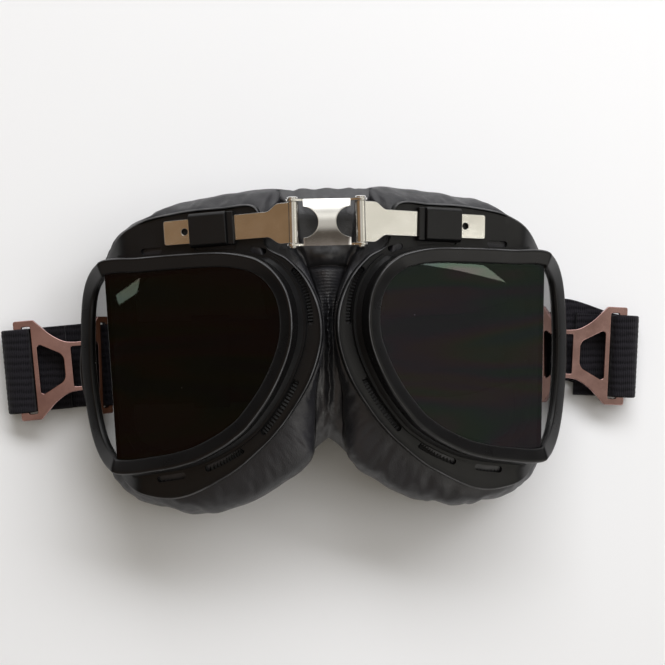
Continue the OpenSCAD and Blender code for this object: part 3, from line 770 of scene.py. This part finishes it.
def swell(obj, held, most):
    """Fills a closed cover in a cloth simulation. Points in held stay, others move by most."""
    start = np.array([v.co for v in obj.data.vertices])
    group = obj.vertex_groups.new(name="held")
    group.add([int(i) for i in held], 1, "REPLACE")
    cloth = obj.modifiers.new("cloth", "CLOTH")
    assign(cloth.settings, CLOTH)
    cloth.settings.effector_weights.gravity = 0
    cloth.point_cache.frame_start, cloth.point_cache.frame_end = 1, CLOTH_FRAMES
    for step in range(1, CLOTH_FRAMES + 1):
        scene.frame_set(step)
    found = obj.evaluated_get(bpy.context.evaluated_depsgraph_get())
    move = np.array([v.co for v in found.data.vertices]) - start
    obj.modifiers.clear()
    obj.vertex_groups.clear()
    scene.frame_set(1)
    far = np.linalg.norm(move, axis=1)[:, None]
    move *= np.minimum(1, most * MM / np.maximum(far, 1e-9))
    for v, p in zip(obj.data.vertices, start + move):
        v.co = p


def cushion(who, side):
    loops = np.array(pad_loops())
    grid = np.array([spline(loops[:, i], 5, True) for i in range(N)]).transpose(1, 0, 2)
    m = len(grid)
    flat = grid.reshape(-1, 3)
    outer = np.repeat(np.sin(np.linspace(0, 1, m, endpoint=False) * math.pi) ** 2, N)
    direction = unit(flat - np.tile(grid.mean(0), (m, 1)))
    arc = np.tile(distances(PAD), m)
    seed = 3 if side > 0 else 8
    wrinkle = noise3(flat, 7, seed) * 0.22 + noise3(flat, 3, seed + 1) * 0.1
    swing = 2 * noise3(flat, 25, seed + 2)
    gather = np.sin(arc * WAVE / GATHER_PITCH + swing) * GATHER_H
    top_limit = flat[:, 2].copy()
    flat = flat + direction * ((wrinkle + gather - SUNK) * outer)[:, None]
    near_top = outer < 0.25
    flat[:, 2] = np.where(near_top, np.minimum(flat[:, 2], top_limit - 0.05), flat[:, 2])
    flat[:, 2] = np.maximum(flat[:, 2], 0.02)
    obj = make(f"{who}_cushion_cover", flat, loft_faces(m, N), side, 180)
    swell(obj, np.nonzero(near_top | (flat[:, 2] < 1.5))[0], MOST_SWELL)
    modify(obj, "SUBSURF", levels=1, render_levels=1)
    apply_all(obj)
    smooth(obj, 180)
    dress(obj, LEATHER, f"{who}_cup", f"{who}_cushion")


def lining(who, side):
    loops = pad_loops()
    top_in, inner = loops[0], loops[7]

    def wall(k, thick):
        p = mix(top_in, inner, k)
        return at_height(p[:, :2] + unit(EYE - p[:, :2]) * (LINING_GAP + thick), p[:, 2])

    rows = [wall(0.05, LINING_T), wall(0.05, LINING_T * 0.5), wall(0.05, 0)]
    rows += [wall(k, 0) for k in (0.28, 0.5, 0.75, 0.95)]
    rows += [wall(0.97, LINING_T * 0.5), wall(0.95, LINING_T)]
    rows += [wall(k, LINING_T + 0.2 * math.sin(math.pi * k)) for k in (0.75, 0.5, 0.28)]
    flat = np.concatenate(rows)
    flat += noise3(flat, 2.4, 5)[:, None] * 0.08
    obj = make(f"{who}_foam_ring", flat, loft_faces(len(rows), N), side, 60)
    dress(obj, FOAM, f"{who}_cup", f"{who}_foam_lining")


# Leather over the nose: place along the face, height in the middle, height at the sides
NOSE = np.array([
    [46.2, 31, 29], [43, 34.4, 33.4], [38, 36.2, 36.2], [32, 36.8, 37.4],
    [26, 36.6, 37.4], [20, 36.4, 36.6], [13, 35.8, 36.2], [5, 34.8, 35.6],
    [-3, 33.6, 34.8], [-10, 32, 33.4], [-16, 29.8, 31], [-21.5, 26.4, 27.6],
    [-25.6, 20.8, 21],
])
NOSE_TOP, NOSE_END = 46.2, -25.6
NOSE_ROWS = [(NOSE_TOP, 25, -0.4), (25, 4, -0.15), (4, NOSE_END, -0.35)]
NOSE_COLUMNS = 42
ARCH_Y, ARCH_DROP = -13, 5.4
OVERLAP, OVERLAP_SHARE = 1.8, 0.3
TUCK_Y, TUCK_RUN, TUCK, SIDE_TUCK = 38, 6, 5, 1.6
HOLLOW, HOLLOW_W = 3.2, 5.5
ROLL_CURVE = 0.025
ROLL_Y, ROLL_W, ROLL_H = 26.7, 2, 2.4
CREASE_Y, CREASE_W, CREASE_H = 24.3, 0.5, 1.3
TUFT_H, RIDGE_H, RIDGE_W, RIDGE_PITCH = 1.2, 1.3, 0.5, 1.7
VALLEY_H, VALLEY_X, VALLEY_W = 0.6, 1.4, 0.7
WRINKLE_H, WRINKLE_PITCH, WRINKLE_W = 0.055, 0.9, 3.2
FOLD_H, LOW_PITCH, TOP_PITCH = 0.14, 4.6, 5.2


def hump(t, at, width):
    return np.exp(-((t - at) / width) ** 2)


def pad_edge_x(y):
    """How far the nose side of the cushion is from the middle, at each y."""
    ids = np.arange(4 * STEPS, 13 * STEPS + 1)
    px, py = PAD[ids, 0], PAD[ids, 1]
    order = np.argsort(py)
    return np.interp(y, py[order], px[order])


def arch(y):
    """How far the lower end of the leather swings down beside the middle."""
    return ARCH_DROP * ease((ARCH_Y - y) / (ARCH_Y - NOSE_END))


def nose_relief(x, y, s, side):
    """Height of the roll, crease, tuft, ridge and wrinkles, with s from 0 in the middle to 1."""
    arc = y + ROLL_CURVE * x ** 2
    xs = x * side
    z = hump(arc, ROLL_Y, ROLL_W) * ROLL_H * (1 - 0.8 * ease(np.abs(x) / 8))
    z = z - hump(arc, CREASE_Y, CREASE_W) * CREASE_H * (1 - 0.35 * s)
    z = z + ease((24.1 - arc) / 1.5) * ease((arc - 15) / 7) * TUFT_H * (1 - s ** 2)
    middle = ease((17 - y) / 6) * ease((y + 24) / 22)
    drift = side * (0.22 * np.sin(y * 0.55 + 0.6) + 0.14 * np.sin(y * 1.7))
    ridge = (RIDGE_H + 0.16 * np.sin(y * WAVE / RIDGE_PITCH)) * hump(x, drift, RIDGE_W)
    z = z + middle * (ridge - VALLEY_H * hump(np.abs(x), VALLEY_X, VALLEY_W))
    band = ease((23.4 - arc) / 1) * ease((arc - 5) / 6) * hump(x, 0, WRINKLE_W)
    wander = 0.7 * np.sin(y * 0.9 + 1.3 * np.sin(xs * 0.8))
    z = z + band * WRINKLE_H * np.sin(arc * WAVE / WRINKLE_PITCH + wander)
    folds = np.sin((xs * 1.2 - y * 0.5) * WAVE / LOW_PITCH + 0.8 * np.sin(y * 0.5))
    z = z + ease((-4 - y) / 8) * FOLD_H * folds
    return z + ease((y - 39) / 3) * FOLD_H * np.sin(xs * WAVE / TOP_PITCH + 1.3)


def nose_leather(who, side):
    rows = spline(NOSE, 16, False)
    down = np.concatenate([np.arange(*run) for run in NOSE_ROWS] + [[NOSE_END]])
    order = np.argsort(rows[:, 0])
    middle_z, side_z = (np.interp(down, rows[order, 0], rows[order, k])[:, None] for k in (1, 2))
    tuck = TUCK * ease((down - TUCK_Y) / TUCK_RUN)[:, None]
    pad_edge = pad_edge_x(down - arch(down))[:, None]
    edge, lap = pad_edge + tuck + 0.5, np.minimum(OVERLAP, OVERLAP_SHARE * pad_edge)
    x = (edge + lap) * np.linspace(0, 1, NOSE_COLUMNS) - lap
    s = np.abs(x) / edge
    y = down[:, None] + 0 * x
    z = mix(middle_z, side_z, s ** 2.4) - (SIDE_TUCK + tuck) * ease((s - 0.72) / 0.28)
    dip = (1 - hump(x, 0, HOLLOW_W)) * ease((29.5 - y) / 4) * (1 - ease((s - 0.8) / 0.2))
    z = z - HOLLOW * dip + nose_relief(x, y, s, side)
    brow = ease((y - 39) / 3)
    y = y - arch(y) * s ** 1.3
    y = y + brow * (0.2 * np.sin(x * side * 0.9 + 1) - 0.3 * hump(x, 8.6, 0.9))
    thick = mix(6, 12, ease((y - 26) / 14))
    bottom = np.stack([x * 0.98, y + 0.9 * ease((-20 - y) / 6) - 0.3 * brow, z - thick], 2)
    verts, faces = solid_grid(np.stack([x, y, z], 2), bottom)
    verts += noise3(verts, 2.2, 11)[:, None] * [0, 0, 0.05]
    obj = closed(f"{who}_nose_cover", verts, faces, side)
    bevel(obj, 1.2, 5, 60, 70)
    dress(obj, PAINTED_LIGHT_NOSE_LEATHER, stands_for="nose_leather" if side > 0 else None)
    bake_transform(obj)


# Metal bridge
EAR_GAP, EAR_R = BARREL_L / 2 + 0.1, 2
PLATE_RISE = 0.5
PIN_PLACE = (PIN_X, BRIDGE_Y, PIN_Z)
PIN_HEAD = [(0.35, -0.7), (1.25, -0.66), (1.6, -0.42), (1.65, -0.2), (1.6, 0)]
PIN_RIVET = [(1.2, 0), (1.22, 0.35), (1.02, 0.6), (0.3, 0.7)]
FLARE_START, FLARE_END, ARM_GROWN, ARM_CORNER = 3.3, 7.2, 0.15, 0.6
BARREL_GROWN, BARREL_EDGE = 0.16, 0.2
KEEPER_EDGE, KEEPER_LIP_DROP, KEEPER_LIP_L, KEEPER_LIP_IN = 0.7, 1, 2, 0.1


def moved(part, turn_by, to=(0, 0, 0)):
    return part[0] @ turn_by.T + to, part[1]


def nose_plate():
    half = EAR_GAP + PLATE_T
    crest = PIN_Z + BARREL_D / 2 + PLATE_RISE
    notch = NOTCH_R + 0.05
    breaks = np.concatenate([np.linspace(-half, -notch, 8),
                             NOTCH_R * np.sin(np.linspace(-math.pi / 2, math.pi / 2, 41)),
                             np.linspace(notch, half, 8)])
    top, bottom = [], []
    for s in breaks:
        w = PLATE_X
        if abs(s) < NOTCH_R:
            w = min(w, PLATE_X + 0.2 - math.sqrt(NOTCH_R ** 2 - s * s))
        a = math.asin(s / CROWN_R)
        for row, r in ((top, CROWN_R), (bottom, CROWN_R - PLATE_T)):
            row.append([(x, BRIDGE_Y + r * math.sin(a), crest - CROWN_R + r * math.cos(a))
                        for x in np.linspace(-w, w, 13)])
    parts = [solid_grid(np.array(top), np.array(bottom))]
    outline = [(PIN_X + EAR_R * math.cos(t), PIN_Z + EAR_R * math.sin(t))
               for t in np.linspace(-math.pi / 2, math.pi / 2, 15)]
    outline += [(PLATE_X + 0.9, PIN_Z + 1.5), (PLATE_X - 0.2, PIN_Z + 0.55)]
    outline += [(-x, z) for x, z in reversed(outline)]
    for y in (EAR_GAP, -EAR_GAP - PLATE_T):
        v, f = prism([outline], -y - PLATE_T, -y)
        parts.append((np.stack([v[:, 0], BRIDGE_Y - v[:, 2], v[:, 1]], 1), f))
    obj = closed("bridge_plate", *joined(*parts))
    bevel(obj, 0.14)
    dress(obj, CHROME, "bridge", "nose_plate")


def hinge_pin(who, side):
    shank, r = EAR_GAP + PLATE_T + SEAT_GAP, PIN_D / 2
    profile = [(x, z - shank) for x, z in PIN_HEAD] + [(r, -shank), (r, shank)]
    profile += [(x, z + shank) for x, z in PIN_RIVET]
    part = moved(tube(turned(profile, 40)), turn("X", 90), PIN_PLACE)
    obj = closed(f"{who}_pin_body", *part, side)
    dress(obj, CHROME, "bridge", f"{who}_hinge_pin")


def arm(who, side):
    flare, narrow = (BARREL_L - 0.4) / 2, ARM_H / 2 + ARM_GROWN
    upper = [(0, flare)]
    for t in np.linspace(0, 1, 21):
        upper.append((mix(FLARE_START, FLARE_END, t),
                      mix(flare, narrow, 0.5 - 0.5 * math.cos(math.pi * t))))
    for t in np.linspace(0, math.pi / 2, 6):
        upper.append((ARM_L - ARM_CORNER + ARM_CORNER * math.sin(t),
                      ARM_H / 2 - ARM_CORNER + ARM_CORNER * math.cos(t)))
    hole = circle(ARM_HOLE_X, 0, ARM_HOLE_D / 2)
    strip = prism([mirrored(upper), hole], BARREL_D / 2 - ARM_T, BARREL_D / 2)
    strip = closed(f"{who}_arm_strip", *moved(strip, CUP_TURN, PIN_PLACE), side)
    bevel(strip, 0.16)
    dress(strip, CHROME, f"{who}_arm", f"{who}_arm")
    r, h, bore = BARREL_D / 2 + BARREL_GROWN, BARREL_L / 2, PIN_D / 2 + 0.05
    section = [(bore, -h), (r - BARREL_EDGE, -h), (r, BARREL_EDGE - h), (r, h - BARREL_EDGE),
               (r - BARREL_EDGE, h), (bore, h)]
    barrel = (np.concatenate(turned(section, 48)), loft_faces(len(section), 48))
    barrel = moved(barrel, turn("X", 90), PIN_PLACE)
    dress(closed(f"{who}_arm_barrel", *barrel, side), CHROME, f"{who}_arm")


def keeper(who, side):
    inner = ARM_H / 2 + SLIDE_GAP
    outer = inner + KEEPER_WALL
    seat = BARREL_D / 2 - ARM_T - SLIDE_GAP + SEAT_GAP
    guide_top = BARREL_D / 2 + SLIDE_GAP
    top = BARREL_D / 2 + KEEPER_TOP
    b = KEEPER_EDGE

    def block(half, upper, start, length):
        outline = [(-half, seat), (-inner, seat), (-inner, guide_top), (inner, guide_top),
                   (inner, seat), (half, seat), *upper]
        v, f = prism([outline], 0, length)
        return np.stack([start + v[:, 2], v[:, 0], v[:, 1]], 1), f

    body = block(outer, [(outer, top - b), (outer - b, top), (b - outer, top), (-outer, top - b)],
                 KEEPER_X, KEEPER_L)
    half, lip_top = outer - KEEPER_LIP_IN, top - KEEPER_LIP_DROP
    lip = block(half, [(half, lip_top), (-half, lip_top)], KEEPER_X - KEEPER_LIP_L, KEEPER_LIP_L)
    part = moved(joined(body, lip), CUP_TURN, PIN_PLACE)
    obj = closed(f"{who}_keeper_block", *part, side)
    bevel(obj, 0.3, 4, 30)
    dress(obj, FRAME, f"{who}_cup", f"{who}_keeper")


# Buckles and strap
TEMPLE_POINT = SHAPE[19][2:4]
TEMPLE_UNDER = placed([[*TEMPLE_POINT, flange_w(TEMPLE_POINT[0]) - FLANGE_T]])[0]
HINGE_X = TEMPLE_UNDER[0] - 1.9
STAPLE_HALF, STAPLE_BEND, SLOT_FRONT, NECK_HALF = 5.2, 0.9, 5, 7.3
SLOT_HALF = NECK_HALF - 1.3
SLOT_BACK = STAPLE_D / 2 + 0.5
STAPLE_LEG = TEMPLE_UNDER[2] - HINGE_Z + FLANGE_T
LEAN = turn("Z", -STRAP_LEAN)
LEAN_SLOPE = math.tan(math.radians(STRAP_LEAN))


def at_hinge(part, z):
    return moved(part, LEAN, (HINGE_X, STRAP_Y, z))


def wire(path, radius, around=16):
    path = np.asarray(path, float)
    rings = []
    for i, p in enumerate(path):
        t = unit(path[min(i + 1, len(path) - 1)] - path[max(i - 1, 0)])
        a = unit(np.cross(t, [1, 0, 0]))
        b = np.cross(t, a)
        rings.append([p + radius * (a * x + b * y) for x, y in circle(0, 0, 1, around)])
    return tube(rings)


def staple(who, side):
    path = [(0, STAPLE_HALF, STAPLE_LEG)]
    for t in np.linspace(0, math.pi / 2, 7):
        path.append((0, STAPLE_HALF - STAPLE_BEND * (1 - math.cos(t)),
                     STAPLE_BEND * (1 - math.sin(t))))
    path += [(0, -y, z) for _, y, z in reversed(path)]
    part = at_hinge(wire(path, STAPLE_D / 2), HINGE_Z)
    obj = closed(f"{who}_staple_wire", *part, side)
    dress(obj, CHROME, f"{who}_cup", f"{who}_staple")


BAR_IN = BUCKLE_L - LOOP_BAR_W
LOOP_IN = BAR_IN - LOOP_SLOT_W
SHOULDER_HALF = STRAP_W / 2 + 2.4
LOOP_HALF = STRAP_W / 2 + 0.5
# The side of a buckle and its window, from the neck to the loop bar
BUCKLE_SIDE = np.array([
    [SLOT_FRONT - 1.5, NECK_HALF], [SLOT_FRONT + 1.8, NECK_HALF + 0.5],
    [SLOT_FRONT + 5.4, NECK_HALF + 2.6], [LOOP_IN - 3.2, SHOULDER_HALF - 2.2],
    [LOOP_IN - 1, SHOULDER_HALF],
])
WINDOW = [(SLOT_FRONT + 2.4, 2.8), (SLOT_FRONT + 3.2, 4.2), (LOOP_IN - 2.4, 7.4),
          (LOOP_IN - 1.5, 6.9)]


def mirrored(points):
    return list(points) + [(x, -y) for x, y in reversed(points)]


def rectangle(low, high, half):
    return [(low, -half), (high, -half), (high, half), (low, half)]


def rounded(points, r, count=5):
    """A closed outline with each corner rounded."""
    out = []
    n = len(points)
    for i in range(n):
        p = np.array(points[i], float)
        a, b = points[i - 1] - p, points[(i + 1) % n] - p
        cut = min(r, np.linalg.norm(a) * 0.45, np.linalg.norm(b) * 0.45)
        s, e = p + unit(a) * cut, p + unit(b) * cut
        for t in np.linspace(0, 1, count):
            out.append(tuple((1 - t) ** 2 * s + 2 * t * (1 - t) * p + t * t * e))
    return out


def buckle(who, side):
    curve = [tuple(p) for p in spline(BUCKLE_SIDE, 6, False)]
    half = [(-SLOT_BACK - 1.5, NECK_HALF), *curve, (BUCKLE_L, SHOULDER_HALF)]
    outlines = [rounded(mirrored(half), 0.7, 4), rounded(mirrored(WINDOW), 0.6),
                rounded(rectangle(-SLOT_BACK, SLOT_FRONT, SLOT_HALF), 0.5),
                rounded(rectangle(LOOP_IN, BAR_IN, LOOP_HALF), 0.5)]
    plate = prism(outlines, -BUCKLE_T / 2, BUCKLE_T / 2)
    plate = at_hinge(moved(plate, turn("Y", BUCKLE_TILT)), HINGE_Z)
    obj = closed(f"{who}_buckle_plate", *plate, side)
    bevel(obj, 0.2, 4)
    dress(obj, BUCKLE, f"{who}_buckle", f"{who}_buckle")


TABLE_GAP = 0.05
FLAT_Z = TABLE_GAP + STRAP_T / 2
TILT = math.radians(BUCKLE_TILT)
SLOT_MID = (LOOP_IN + LOOP_SLOT_W / 2) * math.cos(TILT)
BAR_Z = HINGE_Z - (BAR_IN + LOOP_BAR_W / 2) * math.sin(TILT)
LOOP_TOP = BAR_Z + BUCKLE_T / 2 + SOFT_GAP + STRAP_T / 2 + 0.3
LOOP_END = BUCKLE_L * math.cos(TILT) + 3.4
BAND_OVER = 0.6
BAND_END = HINGE_X + BAND_OVER
LOOP_START = BAND_OVER + 0.1 + STRAP_W / 2 * LEAN_SLOPE
RIB_DEPTH, RIB_PITCH, WEB_STEP, WEB_EDGE = 0.035, 1.55, 0.8, 0.5
SKEW = 4.4
# The end of the strap from the loop's top, through the slot, to where it lies on the lower run
TAIL_Z = FLAT_Z + STRAP_T
TAIL = np.array([
    (1.5, LOOP_TOP), (0.35, LOOP_TOP - 0.5), (0, LOOP_TOP - 1.6), (-0.1, BAR_Z - 1.2),
    (-0.9, TAIL_Z + 1.6), (-2.2, TAIL_Z + 0.5), (-4, TAIL_Z + 0.1), (-11, TAIL_Z + 0.1),
]) + [SLOT_MID, 0]
# Strap under the goggles: lengths from the middle, where the slide lifts it, and its lean
NEAR_END, MID_END, LEAN_START, LIFT_END, LIFT_RUN = 58, 64.5, 65.5, 48, 6
SLIDE_WALL, SLIDE_SIDE = 0.9, 1.2
LIFT_Z = TABLE_GAP + SLIDE_WALL + 0.25 + STRAP_T / 2


def webbing(path):
    """Points and faces of the woven strap along a path of x and z, with ribs along it."""
    path = np.asarray(path, float)
    arc = distances(path)
    count = max(8, int(arc[-1] / WEB_STEP))
    at = np.linspace(0, arc[-1], count)
    pts = np.stack([np.interp(at, arc, path[:, k]) for k in (0, 1)], 1)
    t = unit(np.gradient(pts, axis=0))
    y = np.linspace(-STRAP_W / 2, STRAP_W / 2, 64)
    edge = np.clip((STRAP_W / 2 - np.abs(y)) / WEB_EDGE, 0, 1)
    half = STRAP_T / 2 * np.sqrt(1 - (1 - edge) ** 2 * 0.85)
    up = half + RIB_DEPTH * (np.cos(y * WAVE / RIB_PITCH) - 1) * edge
    grids = []
    for sign in (1, -1):
        x = pts[:, :1] - sign * t[:, 1:] * up
        z = pts[:, 1:] + sign * t[:, :1] * up
        grids.append(np.stack([x, y + 0 * x, z], 2))
    return solid_grid(*grids)


def skew(side, x):
    """How far the lower run of the strap lies off its line, x from the buckle hinge."""
    if side < 0:
        return 0 * x
    return SKEW * ease((x + 32) / 26) * ease((LOOP_END - 2 - x) / (LOOP_END - 4))


def strap_loop(who, side):
    fold_r = (LOOP_TOP - FLAT_Z) / 2
    turns = np.linspace(-math.pi / 2, math.pi / 2, 13)
    path = [(LOOP_START, FLAT_Z), (SLOT_MID - 6, FLAT_Z)]
    path += [(LOOP_END - fold_r + fold_r * math.cos(a), FLAT_Z + fold_r + fold_r * math.sin(a))
             for a in turns]
    path += [tuple(p) for p in spline(TAIL, 4, False)]
    v, f = webbing(path)
    v[:, 1] += skew(side, v[:, 0]) * (v[:, 2] < FLAT_Z + STRAP_T / 2)
    v, f = at_hinge((v, f), 0)
    v[:, 2] = np.maximum(v[:, 2], TABLE_GAP)
    obj = closed(f"{who}_strap_end", v, f, side)
    dress(obj, WEBBING, f"{who}_buckle", f"{who}_strap_loop")


def strap_pieces(who, side):
    """The strap under the goggles, in pieces along its length."""
    arm_body, cup, hinged = f"{who}_arm", f"{who}_cup", f"{who}_buckle"
    cuts = [("near", 0, NEAR_END, "bridge", arm_body, 48.5, 57.5),
            ("mid", NEAR_END, MID_END, arm_body, cup, 58.5, 64),
            ("far", MID_END, BAND_END, cup, hinged, 65, BAND_END)]
    for name, low, high, first, second, start, end in cuts:
        xs = np.linspace(low, high, max(6, int((high - low) / WEB_STEP)))
        heights = mix(LIFT_Z, FLAT_Z, np.clip((xs - LIFT_END) / LIFT_RUN, 0, 1))
        v, f = webbing(np.stack([xs, heights], 1))
        leaning = np.clip((v[:, 0] - LEAN_START) / (BAND_END - LEAN_START), 0, 1)
        v[:, 0] += leaning * (v[:, 1] + STRAP_W / 2) * LEAN_SLOPE
        v[:, 1] += STRAP_Y + skew(side, v[:, 0] - HINGE_X)
        obj = closed(f"{who}_strap_{name}", v, f, side)
        replaced = "strap_band" if side > 0 and name == "near" else None
        dress(obj, WEBBING, stands_for=replaced)
        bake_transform(obj)


def strap_slide():
    half_h, half_w = STRAP_T / 2 + SLIDE_GAP, STRAP_W / 2 + SLIDE_GAP
    out_h, out_w = half_h + SLIDE_WALL, half_w + SLIDE_SIDE
    outlines = [rounded(rectangle(-out_w, out_w, out_h), 0.9),
                rounded(rectangle(-half_w, half_w, half_h), 0.3)]
    v, f = prism(outlines, -SLIDE_L / 2, SLIDE_L / 2)
    v = np.stack([v[:, 2] + SLIDE_X, v[:, 0] + STRAP_Y, v[:, 1] + LIFT_Z], 1)
    obj = closed("strap_slide_body", v, f)
    bevel(obj, 0.22)
    dress(obj, FRAME, "strap_slide", "strap_slide")


for who, side in (("right", 1), ("left", -1)):
    for build in (bezel, rear_frame, vents, seal, cushion, lining, nose_leather, hinge_pin, arm,
                  keeper, staple, buckle, strap_loop, strap_pieces):
        build(who, side)
nose_plate()
strap_slide()
for name, material in (("front_lens", FRONT_LENS), ("side_lens", SIDE_LENS)):
    for who in ("left", "right"):
        lens_pane(who, name, material)


# Table, light and surroundings
TABLE_HALF = 1.6
LAMP_COLOR = (0.985, 0.995, 1.03)
CARD_REACH = 700
LEFT_GLINT = [(115, 295.3), (118.4, 305), (137, 292.5), (139, 278)]
RIGHT_GLINT = [(420, 264), (444.5, 262.9), (473.6, 264), (484.7, 265.6), (493.7, 272),
               (506, 282), (484.7, 276.7), (453.5, 269.3)]
# What metal, lenses and leather reflect: direction, cosine where a patch starts and where it is
# full, and its light
PATCHES = [
    ((0, 0, 1), -0.3, 0.6, (0.085, 0.072, 0.06)),
    ((-0.62, 0.05, 0.78), 0.84, 0.97, (0.13, 0.062, 0.012)),
    ((0.65, 0.05, 0.76), 0.86, 0.975, (0.43, 0.42, 0.36)),
    ((0.05, 0.93, 0.36), 0.8, 0.95, (1.7, 1.7, 1.69)),
    ((0, -0.95, 0.3), 0.7, 0.98, (0.085, 0.072, 0.066)),
    ((0, 0, -1), -0.22, 0.04, (0.05, 0.05, 0.05)),
    ((0, 0.1, 1), 0.925, 0.995, (0.46, 0.45, 0.42)),
    ((0, 0.76, 0.65), 0.9, 0.985, (1.15, 1.15, 1.14)),
    ((0, 0.45, 0.9), 0.93, 0.995, (0.62, 0.62, 0.6)),
    ((0.56, -0.6, 0.56), 0.88, 0.965, (1.25, 1.22, 1.15)),
    ((-0.56, -0.56, 0.6), 0.88, 0.965, (0.36, 0.3, 0.26)),
    ((0.8, -0.1, 0.6), 0.86, 0.98, (0.3, 0.29, 0.27)),
]


def staged(name, corners, material):
    mesh = bpy.data.meshes.new(name)
    mesh.from_pydata([tuple(v) for v in corners], [], [tuple(range(len(corners)))])
    mesh.materials.append(material)
    obj = bpy.data.objects.new(name, mesh)
    scene.collection.objects.link(obj)
    return obj


def floor():
    n = Nodes("table")
    color = n.ramp(n.noise(3, 3), [(0.3, (0.865,) * 3), (0.7, (0.89,) * 3)])
    material = n.set(Base_Color=color, Roughness=0.75, Specular_IOR_Level=0.2)
    r = TABLE_HALF
    staged("table", [(-r, -r, 0), (r, -r, 0), (r, r, 0), (-r, r, 0)], material)


def lamp(name, place, width, depth, watts):
    data = bpy.data.lights.new(name, "AREA")
    data.shape = "RECTANGLE"
    data.size, data.size_y = width, depth
    data.energy = watts
    data.color = LAMP_COLOR
    obj = bpy.data.objects.new(name, data)
    obj.location = place
    obj.rotation_mode = "QUATERNION"
    obj.rotation_quaternion = (-Vector(place)).to_track_quat("-Z", "Y")
    obj.visible_glossy = False
    scene.collection.objects.link(obj)


def card(name, corners, side, strength, color):
    """A pane that only reflections show, placed where the lens mirrors it at these pixels."""
    normal = CUP_TURN @ np.array([0, 0, 1]) * [side, 1, 1]
    point = placed([[20, 0, LENS_TOP]])[0] * [side, 1, 1]
    verts = []
    for px, py in corners:
        across, up = px - IMAGE / 2, IMAGE / 2 - py
        ray = CAMERA_TURN.T @ np.array([across, up, -IMAGE * FOCAL / SENSOR])
        hit = CAMERA_PLACE + ray * ((point - CAMERA_PLACE) @ normal) / (ray @ normal)
        away = unit(ray)
        away = away - 2 * (away @ normal) * normal
        verts.append((hit + away * CARD_REACH) * MM)
    material = bpy.data.materials.new(name)
    graph = Graph(material)
    graph.tree.nodes.clear()
    glow = graph.add("Emission", {"Color": (*color, 1), "Strength": strength})
    graph.node("OutputMaterial", {"Surface": glow})
    obj = staged(name, verts, material)
    obj.visible_camera = obj.visible_diffuse = False
    obj.visible_transmission = obj.visible_shadow = False


def surroundings():
    scene.world = bpy.data.worlds.new("room")
    graph = Graph(scene.world)
    graph.tree.nodes.clear()
    add = graph.add
    path = graph.node("LightPath", {}).outputs
    direction = add("TexCoord", {}, "Generated")
    total = None
    for d, low, high, color in PATCHES:
        dot = add("VectorMath", {0: direction, 1: Vector(d).normalized()}, "Value",
                  operation="DOT_PRODUCT")
        share = add("MapRange", {"Value": dot, "From Min": low, "From Max": high},
                    interpolation_type="SMOOTHSTEP")
        part = add("VectorMath", {0: color, "Scale": share}, operation="SCALE")
        total = add("VectorMath", {0: total, 1: part}, operation="ADD") if total else part
    plain = add("Background", {"Color": (0.97, 0.88, 0.73, 1), "Strength": 0.24})
    seen = add("Background", {"Color": (0.93, 0.93, 0.925, 1), "Strength": 1})
    glossy = add("Background", {"Color": total, "Strength": 1})
    lit = add("MixShader", {0: path["Is Glossy Ray"], 1: plain, 2: glossy})
    clear = add("Math", {0: path["Is Camera Ray"], 1: path["Is Transmission Ray"]},
                operation="MAXIMUM")
    graph.node("OutputWorld", {"Surface": add("MixShader", {0: clear, 1: lit, 2: seen})})


floor()
surroundings()
lamp("window_light", (0.35, 0.95, 0.85), 1.7, 0.45, 20.4)
lamp("side_light", (0.75, 0.1, 0.9), 0.7, 0.7, 2.9)
lamp("ceiling_light", (0, 0.25, 1.2), 0.9, 0.6, 1)
card("left_glint", LEFT_GLINT, -1, 3.9, (1, 1, 0.93))
card("right_glint", RIGHT_GLINT, 1, 7.2, (1, 1.02, 0.92))
